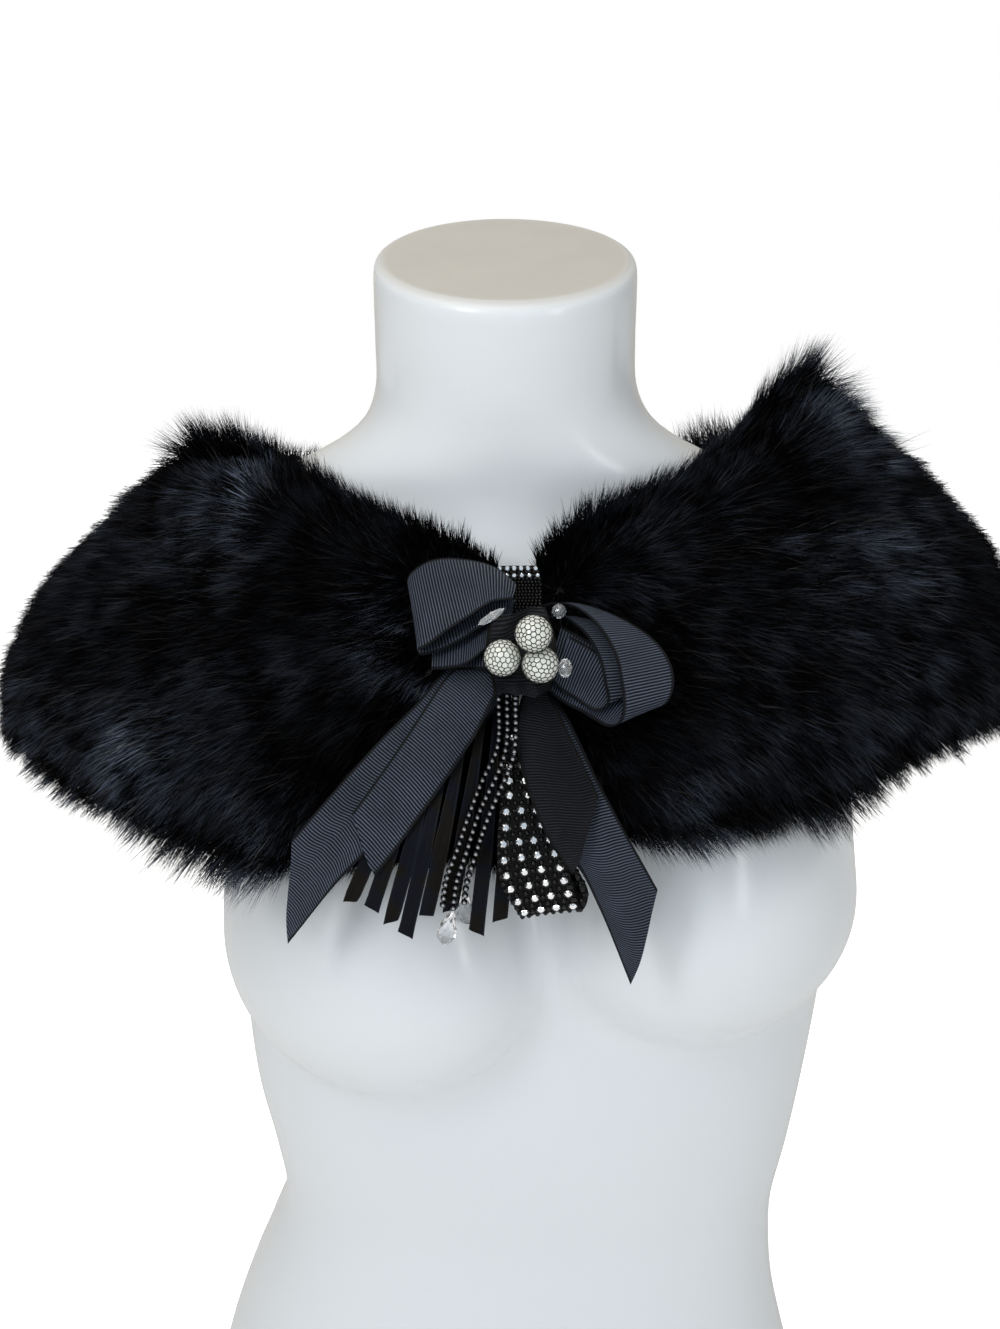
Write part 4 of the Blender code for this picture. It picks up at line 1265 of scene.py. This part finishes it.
def make_balls(finishes):
    tree = ball_net_tree()
    for number, (name, _, _, across) in enumerate(BALLS):
        low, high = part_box(name)
        centre = (low + high) / 2
        mesh = bpy.data.meshes.new(name + "_skin")
        work = bmesh.new()
        bmesh.ops.create_icosphere(work, subdivisions=5, radius=across * MM / 2)
        bmesh.ops.translate(work, verts=work.verts, vec=centre)
        work.to_mesh(mesh)
        work.free()
        mesh.shade_smooth()
        placed(shown(name + "_skin", mesh, finishes["ball"]), "netted_ball", name)
        values = {
            "Diameter": across * MM,
            "Thread": 0.0004,
            "Centre": tuple(centre),
            "Turn": (0.4 + number, 0.9 * number, 0.3),
            "Finish": finishes["thread"],
        }
        start = points_mesh(name + "_net", [(centre, (0, 0, 1), (0, 1, 0))])
        placed(grown(name + "_net", start, tree, values, finishes["thread"]), "netted_ball")


def cut_gem(name, solid, start, end, wide, profile, sides, finish):
    """Clear cut glass along a line, with triangular facets."""
    mesh = ring_solid([(r, h) for h, r in profile], sides, twist=0.5)
    axis = end - start
    rise = axis.normalized()
    u = rise.cross(Vector((0, 1, 0))).normalized()
    v = rise.cross(u)
    for vertex in mesh.vertices:
        x, y, z = vertex.co
        vertex.co = start + axis * z + (u * x + v * y) * wide * MM
    fixed = plain_mesh(name, [w.co.copy() for w in mesh.vertices], [tuple(p.vertices) for p in mesh.polygons], smooth=False)
    return placed(shown(name + "_glass", fixed, finish), "clear_crystal", solid)


def make_gems(clear, backed):
    drop = ((0.0, 0.0), (0.04, 0.08), (0.2, 0.24), (0.42, 0.40), (0.66, 0.5), (0.84, 0.38), (0.96, 0.16), (1.0, 0.0))
    for name, x, z, end_x, end_z in DROPS:
        low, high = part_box(name)
        y = (low.y + high.y) / 2
        start, end = Vector((x * MM, y, z * MM)), Vector((end_x * MM, y, end_z * MM))
        cut_gem(name, name, start, end, DROP_WIDTH, drop, 8, clear)
    bead = ((0.0, 0.0), (0.03, 0.2), (0.2, 0.38), (0.38, 0.48), (0.62, 0.48), (0.8, 0.38), (0.97, 0.2), (1.0, 0.0))
    for name, x, z, wide, tall in CRYSTALS:
        low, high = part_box(name)
        y = (low.y + high.y) / 2
        start, end = Vector((x * MM, y, (z - tall / 2) * MM)), Vector((x * MM, y, (z + tall / 2) * MM))
        cut_gem(name, name, start, end, wide, bead, 10, clear)
    x, z, end_x, end_z, wide = LONG_CRYSTAL
    low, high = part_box("crystal_long")
    y = (low.y + high.y) / 2
    spear = ((0.0, 0.0), (0.16, 0.38), (0.4, 0.5), (0.6, 0.5), (0.84, 0.38), (1.0, 0.0))
    start, end = Vector((x * MM, y, z * MM)), Vector((end_x * MM, y, end_z * MM))
    cut_gem("crystal_long", "crystal_long", start, end, wide, spear, 6, backed)


def make_small_pieces(grids, strands, finishes):
    """Beads on the strands, stones and beads on the nets."""
    tree = set_out_tree()
    # The strand beads carry a painted glint, a pale disc on their faces
    bead = pattern_piece("bead_pattern", ring_solid(
        [(0, -0.46), (0.26, -0.4), (0.45, -0.2), (0.5, 0), (0.45, 0.2), (0.28, 0.39), (0.085, 0.457), (0, 0.46)],
        8, smooth=True, painted_glint=0.09))
    dull = pattern_piece("dull_bead_pattern", ring_solid(
        [(0, -0.46), (0.26, -0.4), (0.48, -0.12), (0.48, 0.12), (0.26, 0.4), (0, 0.46)], 8, smooth=True))
    stone = pattern_piece("stone_pattern", ring_solid(
        [(0, -0.15), (0.4, -0.15), (0.5, 0.0), (0.46, 0.12), (0.3, 0.27), (0, 0.3)], 8, twist=0.5))
    cup = pattern_piece("cup_pattern", ring_solid(
        [(0, -0.2), (0.5, -0.2), (0.62, -0.05), (0.6, 0.1), (0.5, 0.12), (0.49, 0.02), (0, 0.0)], 12, smooth=True))
    places = [p for strand in strands for p in along_strand(strand, 3.1, 1.6)]
    made = set_out("strand_beads", places, tree, bead, BEAD, finishes["bead"], turn=6.0)
    placed(made, "black_beads", "bead_strands")
    stones, between = over_net(grids["net_loop"], 6.4)
    placed(set_out("net_stones", stones, tree, stone, 3.7, finishes["stone"], turn=0.5, seed=3), "stone_net")
    placed(set_out("net_cups", stones, tree, cup, 3.7, finishes["bead"], seed=3), "stone_net")
    placed(set_out("net_beads", between, tree, dull, 2.3, finishes["bead"], turn=6.0, seed=4), "stone_net")

    body = solid_tree("dress_form")
    low, high, last = 0.045, 0.29, len(STATIONS) - 1
    grid = []
    for j in range(7):
        across = low + (high - low) * j / 6
        left, right = [outer.lerp(inner, 0.4) for outer, inner in (capelet_pair(p, across, body) for p in (0, last))]
        inwards = (right - left).normalized() * (PIECE_GAP - 2.5 * smoothstep(0.0, 0.1, across)) * MM
        grid.append([(left + inwards).lerp(right - inwards, i / 4) for i in range(5)])
    grid = refined(grid, 3, 3)
    made = shown("closure_net_cloth", ribbon_shell("closure_net", grid, 0.8), finishes["net"])
    placed(made, "stone_net", "closure_net")
    stones, between = over_net(grid, 3.2, lift=0.6)
    top = max(point.z for point, _, _ in stones) - 0.0045
    bright = [place for place in stones if place[0].z > top]
    plain = [place for place in stones if place[0].z <= top]
    placed(set_out("closure_stones", bright, tree, stone, 2.7, finishes["stone"], turn=0.5, seed=5), "stone_net")
    placed(set_out("closure_beads", between + plain, tree, dull, 1.9, finishes["bead"], turn=6.0, seed=6), "stone_net")
    for pattern in (bead, dull, stone, cup):
        bpy.data.objects.remove(pattern)


# Fur

def hair_tree():
    """Hair on a skin: points over its faces, one blade on each, leaning along the flow and drawn into locks."""
    tree, add, given, made = new_group(
        "hair on a skin",
        "GeometryNodeTree",
        (
            ("Geometry", "NodeSocketGeometry", None),
            ("Blade", "NodeSocketObject", None),
            ("Density", "NodeSocketFloat", 500000.0),
            ("Length", "NodeSocketFloat", 0.025),
            ("Width", "NodeSocketFloat", 0.0005),
            ("Lift", "NodeSocketFloat", 0.55),
            ("Lock size", "NodeSocketFloat", 0.014),
            ("Lock pull", "NodeSocketFloat", 0.6),
            ("Stray", "NodeSocketFloat", 0.2),
            ("Roll", "NodeSocketFloat", 0.8),
            ("Seed", "NodeSocketInt", 1),
            ("Finish", "NodeSocketMaterial", None),
        ),
        (("Geometry", "NodeSocketGeometry"),),
    )

    def vector(operation, a, b=None, scale=None):
        inputs = {0: a}
        if b is not None:
            inputs[1] = b
        if scale is not None:
            inputs["Scale"] = scale
        return add("ShaderNodeVectorMath", inputs, operation=operation).outputs[0]

    def named(name, kind):
        return add("GeometryNodeInputNamedAttribute", {"Name": name}, data_type=kind).outputs[0]

    skin = add(
        "GeometryNodeDistributePointsOnFaces",
        {"Mesh": given["Geometry"], "Density": given["Density"], "Seed": given["Seed"]},
        distribute_method="RANDOM",
    )
    place = add("GeometryNodeInputPosition").outputs[0]
    flow = named("flow", "FLOAT_VECTOR")
    length = maths(add, "MULTIPLY", given["Length"], named("long", "FLOAT"))
    sway = add("ShaderNodeTexNoise", {"Vector": place, "Scale": 24.0, "Detail": 2.0}).outputs["Color"]
    sway = vector("SCALE", vector("SUBTRACT", sway, (0.5, 0.5, 0.5)), scale=2.2)
    bent = add("ShaderNodeTexNoise", {"Vector": place, "Scale": 90.0, "Detail": 1.0}).outputs["Color"]
    bent = vector("SCALE", vector("SUBTRACT", bent, (0.5, 0.5, 0.5)), scale=0.012)
    cells = add("ShaderNodeTexVoronoi", {"Vector": vector("ADD", place, bent), "Scale": maths(add, "DIVIDE", 1.0, given["Lock size"])})
    to_lock = vector("SUBTRACT", cells.outputs["Position"], place)
    pull = vector("SCALE", to_lock, scale=maths(add, "DIVIDE", given["Lock pull"], length))
    stray = add(
        "FunctionNodeRandomValue",
        {0: (-1.0, -1.0, -1.0), 1: (1.0, 1.0, 1.0), "Seed": 11},
        data_type="FLOAT_VECTOR",
    ).outputs[0]
    rise = vector("SCALE", skin.outputs["Normal"], scale=maths(add, "MULTIPLY", given["Lift"], named("lift", "FLOAT")))
    lean = vector("ADD", vector("ADD", rise, flow), vector("ADD", pull, vector("SCALE", stray, scale=given["Stray"])))
    lean = vector("NORMALIZE", vector("ADD", lean, vector("SCALE", sway, scale=0.32)))
    axes = add(
        "FunctionNodeAxesToRotation",
        {"Primary Axis": lean, "Secondary Axis": vector("SUBTRACT", flow, vector("SCALE", skin.outputs["Normal"], scale=0.6))},
        primary_axis="Z",
        secondary_axis="X",
    ).outputs[0]
    roll = add("FunctionNodeRandomValue", {2: -1.0, 3: 1.0, "Seed": 12}, data_type="FLOAT").outputs[1]
    by = add("ShaderNodeCombineXYZ", {2: maths(add, "MULTIPLY", roll, given["Roll"])}).outputs[0]
    rotation = add("FunctionNodeRotateRotation", {0: axes, 1: by}, rotation_space="LOCAL").outputs[0]
    vary = add("FunctionNodeRandomValue", {2: 0.72, 3: 1.12, "Seed": 13}, data_type="FLOAT").outputs[1]
    lock_tone = add("ShaderNodeSeparateXYZ", {0: cells.outputs["Color"]}).outputs[0]
    lock_long = maths(add, "MULTIPLY_ADD", lock_tone, 0.36)
    lock_long.node.inputs[2].default_value = 0.8
    long = maths(add, "MULTIPLY", length, maths(add, "MULTIPLY", vary, lock_long))
    scale = add("ShaderNodeCombineXYZ", {0: long, 1: given["Width"], 2: long}).outputs[0]
    blade = add("GeometryNodeObjectInfo", {"Object": given["Blade"]}).outputs["Geometry"]
    hairs = add(
        "GeometryNodeInstanceOnPoints",
        {"Points": skin.outputs["Points"], "Instance": blade, "Rotation": rotation, "Scale": scale},
    ).outputs[0]
    each = add("FunctionNodeRandomValue", {2: 0.0, 3: 1.0, "Seed": 14}, data_type="FLOAT").outputs[1]
    # Each hair's tone: random per hair and per lock, times the painted sheen of the skin; it lightens the hair towards
    # its tip
    tone = maths(add, "MULTIPLY", maths(add, "MULTIPLY", each, each), maths(add, "ADD", lock_tone, 0.35))
    tone = maths(add, "MULTIPLY", tone, named("sheen", "FLOAT"))
    hairs = add(
        "GeometryNodeStoreNamedAttribute",
        {"Geometry": hairs, "Name": "tone", "Value": tone},
        data_type="FLOAT",
        domain="INSTANCE",
    ).outputs[0]
    real = add("GeometryNodeRealizeInstances", {"Geometry": hairs}).outputs[0]
    done = add("GeometryNodeSetMaterial", {"Geometry": real, "Material": given["Finish"]}).outputs[0]
    join(tree, done, made["Geometry"])
    return tree


def blade_mesh(name, rows):
    """A flat hair one unit long and wide, which bends towards +X. Rows: height, bend, half width."""
    points, faces, before = [], [], None
    for height, bend, half in rows:
        start = len(points)
        points += [(bend, -half, height), (bend, half, height)] if half else [(bend, 0, height)]
        here = list(range(start, len(points)))
        if before:
            faces.append(tuple(before + here[::-1]))
        before = here
    mesh = bpy.data.meshes.new(name)
    mesh.from_pydata(points, [], faces)
    layer = mesh.uv_layers.new(name="strand")
    for loop, uv in zip(mesh.loops, layer.data):
        x, y, z = mesh.vertices[loop.vertex_index].co
        uv.uv = (y + 0.5, z)
    mesh.shade_smooth()
    return mesh


def corner_at(place):
    """1 at the two shoulder corners of the neck edge, and 0 away from them."""
    return max(0.0, 1 - (min(abs(place - seam) for seam in SIDE_SEAMS) / 0.8) ** 2)


def skin_point(place, across, body):
    """The outer and the inner point of the pelt, a little off the inside of the fur's space.

    Its neck edge lies lower at the shoulder corners, where only hair rounds them off.
    """
    across += 0.05 * corner_at(place) * (1 - smoothstep(0.0, 0.4, across))
    outer, inner = capelet_pair(place, across, body)
    out = (outer - inner).normalized()
    inner += out * PELT_RISE * smoothstep(0.04, 0.2, min(across, 1 - across)) * MM
    return inner + out * PELT_WALL * MM, inner


def coat_at(place, across, down, side):
    """Which way the hair lies: up at the neck edge, and below it outwards and down from the front."""
    turn = max(smoothstep(0.03, 0.3, across), 0.85 * corner_at(place))
    round_body = min(place, len(STATIONS) - 1 - place)
    outwards = side if place < 11 else -side
    fan = 0.95 - 0.45 * smoothstep(0.45, 1.0, across)
    fan *= smoothstep(-0.8, 1.8, round_body) * (1 - smoothstep(7.0, 11.0, round_body))
    inwards = 0.6 * (1 - smoothstep(0.0, 0.8, round_body)) * smoothstep(0.04, 0.2, across)
    flow = down * (-0.75 + 1.75 * turn) + outwards * (fan * (0.15 + 0.85 * turn) - inwards)
    return flow.normalized(), turn


def tufts_at(place, across):
    """How much longer the hair is here than elsewhere, and how much prouder it stands."""
    taller = 1.0
    for tufts, edge in ((NECK_TUFTS, across), (HEM_TUFTS, 1 - across)):
        for centre, reach, share in tufts:
            taller += share * max(0.0, 1 - ((place - centre) / reach) ** 2) * (1 - smoothstep(0.04, 0.25, edge))
    round_body = min(place, len(STATIONS) - 1 - place)
    shoulder = smoothstep(4.0, 6.0, round_body) * (1 - smoothstep(8.0, 9.5, round_body))
    return taller, 1 + 0.45 * shoulder * (1 - smoothstep(0.4, 0.7, across))


def painted_sheen_at(point, place, across):
    """How much painted sheen the hair tips get here: a little all over, and more in soft places that are broken up."""
    most = 0.0
    for centre, middle, reach, deep, share in PAINTED_SHEEN_SPOTS:
        away = ((place - centre) / reach) ** 2 + ((across - middle) / deep) ** 2
        most = max(most, share * (1 - smoothstep(0.0, 1.0, away)))
    broken = smoothstep(-0.3, 0.4, lumps(point * 23) + 0.6 * lumps(point * 61))
    return 0.05 + 0.12 * broken + 0.83 * most * (0.35 + 0.65 * broken)


def make_skin(name, first, last, body, trims):
    """The pelt of one panel, and the open grid that its hair grows from."""
    count = round((last - first) * PELT_COLUMNS)
    shares = [PELT_SPAN[0] + (PELT_SPAN[1] - PELT_SPAN[0]) * k / PELT_ROWS for k in range(PELT_ROWS + 1)]
    places = [first + (last - first) * k / count for k in range(count + 1)]
    pairs = [[skin_point(place, across, body) for across in shares] for place in places]
    front = [[a for a, _ in line] for line in pairs]
    back = [[b for _, b in line] for line in pairs]
    pelt = shell_of(name, front, back, angle=70)
    width = len(shares)
    points = [p for line in front for p in line]
    faces = [
        (i * width + j, i * width + j + 1, (i + 1) * width + j + 1, (i + 1) * width + j)
        for i in range(count)
        for j in range(width - 1)
    ]
    a, b, _, d = (points[i] for i in faces[len(faces) // 2])
    out = pairs[count // 2][width // 2]
    if (b - a).cross(d - a).dot(out[0] - out[1]) < 0:
        faces = [face[::-1] for face in faces]
    emitter = bpy.data.meshes.new(name + "_hair")
    emitter.from_pydata([tuple(p) for p in points], [], faces)
    flows, longs, lifts, painted_sheens = [], [], [], []
    for i, place in enumerate(places):
        for j, across in enumerate(shares):
            here = front[i][j]
            down = (front[i][min(j + 1, width - 1)] - front[i][max(j - 1, 0)]).normalized()
            side = (front[min(i + 1, count)][j] - front[max(i - 1, 0)][j]).normalized()
            flow, turn = coat_at(place, across, down, side)
            under = pressed(here, trims)
            flows.extend(flow)
            taller, prouder = tufts_at(place, across)
            longs.append((0.72 + 0.28 * turn) * (1 - 0.6 * under) * taller)
            lifts.append((1.3 - 0.3 * turn) * (1 - 0.8 * under) * prouder)
            # Painted sheen, which lightens the hair tips through their tone
            painted_sheens.append(painted_sheen_at(here, place, across))
    emitter.attributes.new("flow", "FLOAT_VECTOR", "POINT").data.foreach_set("vector", flows)
    for label, values in (("long", longs), ("lift", lifts), ("sheen", painted_sheens)):
        emitter.attributes.new(label, "FLOAT", "POINT").data.foreach_set("value", values)
    return pelt, emitter


def pressed(point, trims):
    """How much of the place in front of this point is covered by the bow and what hangs from it."""
    if point.y > -0.03 or abs(point.x) > 0.15:
        return 0.0
    hits = 0
    for dx, dz in ((0, 0), (5, 0), (-5, 0), (0, 6), (0, -6), (0, -13)):
        start = point + Vector((dx, -1, dz)) * MM
        hits += trims.ray_cast(start, Vector((0, -1, 0)), 0.09)[0] is not None
    return hits / 6


def make_fur(finishes):
    body = solid_tree("dress_form")
    trims = solid_tree(*[name for name in SOLIDS if name.startswith(("bow_", "net_", "ribbon_", "bead_"))])
    half = SEAM_GAP / 2 / (Vector(STATIONS[SIDE_SEAMS[0] + 1][0:3]) - Vector(STATIONS[SIDE_SEAMS[0]][0:3])).length
    left, right = SIDE_SEAMS
    tree = hair_tree()
    guard = pattern_piece("guard_hair_pattern", blade_mesh("guard", ((0, 0, 0), (0.42, 0.05, 0.5), (1, 0.28, 0))))
    under = pattern_piece("under_hair_pattern", blade_mesh("under", ((0, 0, 0.5), (1, 0.16, 0))))
    panels = (
        ("front_left", 0, left - half),
        ("back", left + half, right - half),
        ("front_right", right + half, len(STATIONS) - 1),
    )
    for number, (name, first, last) in enumerate(panels):
        skin, emitter = make_skin("pelt_" + name, first, last, body, trims)
        pelt = placed(shown("pelt_" + name, skin, finishes["hide"]), "black_fur", "fur_" + name)
        area = sum(p.area for p in emitter.polygons)
        hairs = []
        for kind, blade, tris, most, length, wide, lift, pull, stray, roll in HAIR_KINDS:
            values = {
                "Blade": guard if blade == "guard" else under,
                "Density": most / tris / area,
                "Length": length * MM,
                "Width": wide * MM,
                "Lift": lift,
                "Lock size": LOCK_SIZE * MM,
                "Lock pull": pull,
                "Stray": stray,
                "Roll": roll,
                "Seed": 20 + number * 5 + len(hairs),
                "Finish": finishes[kind],
            }
            hair = grown(f"{kind}_{name}", emitter.copy(), tree, values, finishes[kind])
            hairs.append(placed(hair, "black_fur"))
        width, length, share = PELT_CUTS[name]
    for pattern in (guard, under):
        bpy.data.objects.remove(pattern)


# Stage, light and camera

def make_stage():
    mesh = bpy.data.meshes.new("floor")
    mesh.from_pydata([(-4, -4, 0), (4, -4, 0), (4, 4, 0), (-4, 4, 0)], [], [(0, 1, 2, 3)])
    finish, tree, add, sockets = finish_of("pale_floor", Roughness=0.8, Specular_IOR_Level=0.1)
    cloud = noise(add, object_place(add), 2.0, 2.0)
    join(tree, blended(add, cloud, (0.90, 0.905, 0.91), (0.93, 0.935, 0.94)), sockets["Base Color"])
    sockets["Emission Color"].default_value = (1, 1, 1, 1)
    seen = add("ShaderNodeLightPath").outputs["Is Camera Ray"]
    away = add("ShaderNodeVectorMath", {0: object_place(add)}, operation="LENGTH").outputs["Value"]
    glow = spread(add, away, 0.4, 3.0, 0.13, 0.52)
    join(tree, maths(add, "ADD", maths(add, "MULTIPLY", seen, 0.68), glow), sockets["Emission Strength"])
    shown("floor", mesh, finish)
    world = bpy.data.worlds.new("soft room")
    bpy.context.scene.world = world
    world.use_nodes = True
    tree = world.node_tree
    add = add_to(tree)
    room = tree.nodes["Background"]
    room.inputs["Strength"].default_value = ROOM_LIGHT
    towards = add("ShaderNodeSeparateXYZ", {0: add("ShaderNodeTexCoord").outputs["Generated"]}).outputs
    to_back = spread(add, towards[1], -0.7, 0.15)
    to_side = spread(add, maths(add, "ABSOLUTE", towards[0]), 0.4, 0.9)
    ahead = blended(add, to_back, (0.89, 1.01, 1.12), (0.88, 0.81, 0.72))
    join(tree, blended(add, to_side, ahead, (0.34, 0.32, 0.29)), room.inputs["Color"])
    behind = add("ShaderNodeBackground", {"Color": (1, 1, 1, 1), "Strength": 1.0})
    seen = add("ShaderNodeLightPath").outputs["Is Camera Ray"]
    mixed = add("ShaderNodeMixShader", {0: seen, 1: room.outputs[0], 2: behind.outputs[0]})
    join(tree, mixed.outputs[0], tree.nodes["World Output"].inputs["Surface"])
    bpy.context.scene.view_settings.view_transform = "Standard"
    for name, turn, rise, away, wide, tall, power in SOFT_LIGHTS:
        light = bpy.data.lights.new(name, "AREA")
        light.shape, light.size, light.size_y, light.energy = "RECTANGLE", wide, tall, power
        light.color = (1.0, 0.92, 0.82) if name == "top_panel" else (1.0, 1.0, 1.0)
        a, e = math.radians(turn), math.radians(rise)
        out = Vector((math.sin(a) * math.cos(e), -math.cos(a) * math.cos(e), math.sin(e)))
        lamp = bpy.data.objects.new(name, light)
        lamp.location = Vector((0, 0, 0.5)) + out * away
        lamp.rotation_euler = (-out).to_track_quat("-Z", "Y").to_euler()
        bpy.context.scene.collection.objects.link(lamp)


def make_camera():
    data = bpy.data.cameras.new("camera")
    data.sensor_width, data.lens, data.clip_start = 36, CAMERA_LENS, 0.01
    made = bpy.data.objects.new("camera", data)
    bpy.context.scene.collection.objects.link(made)
    rise = math.radians(CAMERA_RISE)
    out = Vector((0, -math.cos(rise), math.sin(rise)))
    made.location = Vector(CAMERA_AIM) + out * CAMERA_AWAY
    made.rotation_mode = "QUATERNION"
    made.rotation_quaternion = (-out).to_track_quat("-Z", "Y")
    bpy.context.scene.camera = made


def main():
    make_camera()
    make_stage()
    weave = ribbed_weave_group()
    finishes = {
        # Each ribbon's two colours: painted shade between the ribs and a painted highlight on their crests
        "ribbon_light": ribbon_finish("grosgrain_ribbon", weave, (0.0015, 0.002, 0.003), (0.125, 0.154, 0.222)),
        "ribbon_dark": ribbon_finish("dark_grosgrain_ribbon", weave, (0.0006, 0.0006, 0.001), (0.019, 0.0225, 0.033)),
        "satin": satin_finish(),
        "net": net_finish(),
        "bead": bead_finish(),
        "stone": stone_finish(),
        "glass": glass_finish("clear_cut_glass", 0.92),
        "backed_glass": glass_finish("foil_backed_glass", 0.75),
        "ball": ball_finish(),
        "thread": thread_finish(),
        "hide": hide_finish("dark_hide", (0.004, 0.004, 0.005), 0.7, 120.0),
        # Each hair runs from its root colour to its tip colour as far as its tone says, which holds random variation
        # and painted sheen; the guard hair's blue-grey tip is the painted sheen's colour
        "under_hair": fur_finish("under_hair", (0.0006, 0.0006, 0.0008), (0.003, 0.003, 0.0042), 0.7, 0.03),
        "guard_hair": fur_finish("guard_hair", (0.0004, 0.0004, 0.0006), (0.245, 0.295, 0.41), 0.45, 0.035),
        "stray_hair": fur_finish("stray_hair", (0.003, 0.003, 0.003), (0.26, 0.26, 0.27), 0.4, 0.12),
    }
    make_form_shell(plastic_finish())
    grids, strands = make_trim(finishes)
    make_small_pieces(grids, strands, finishes)
    make_balls(finishes)
    make_gems(finishes["glass"], finishes["backed_glass"])
    make_fur(finishes)


main()
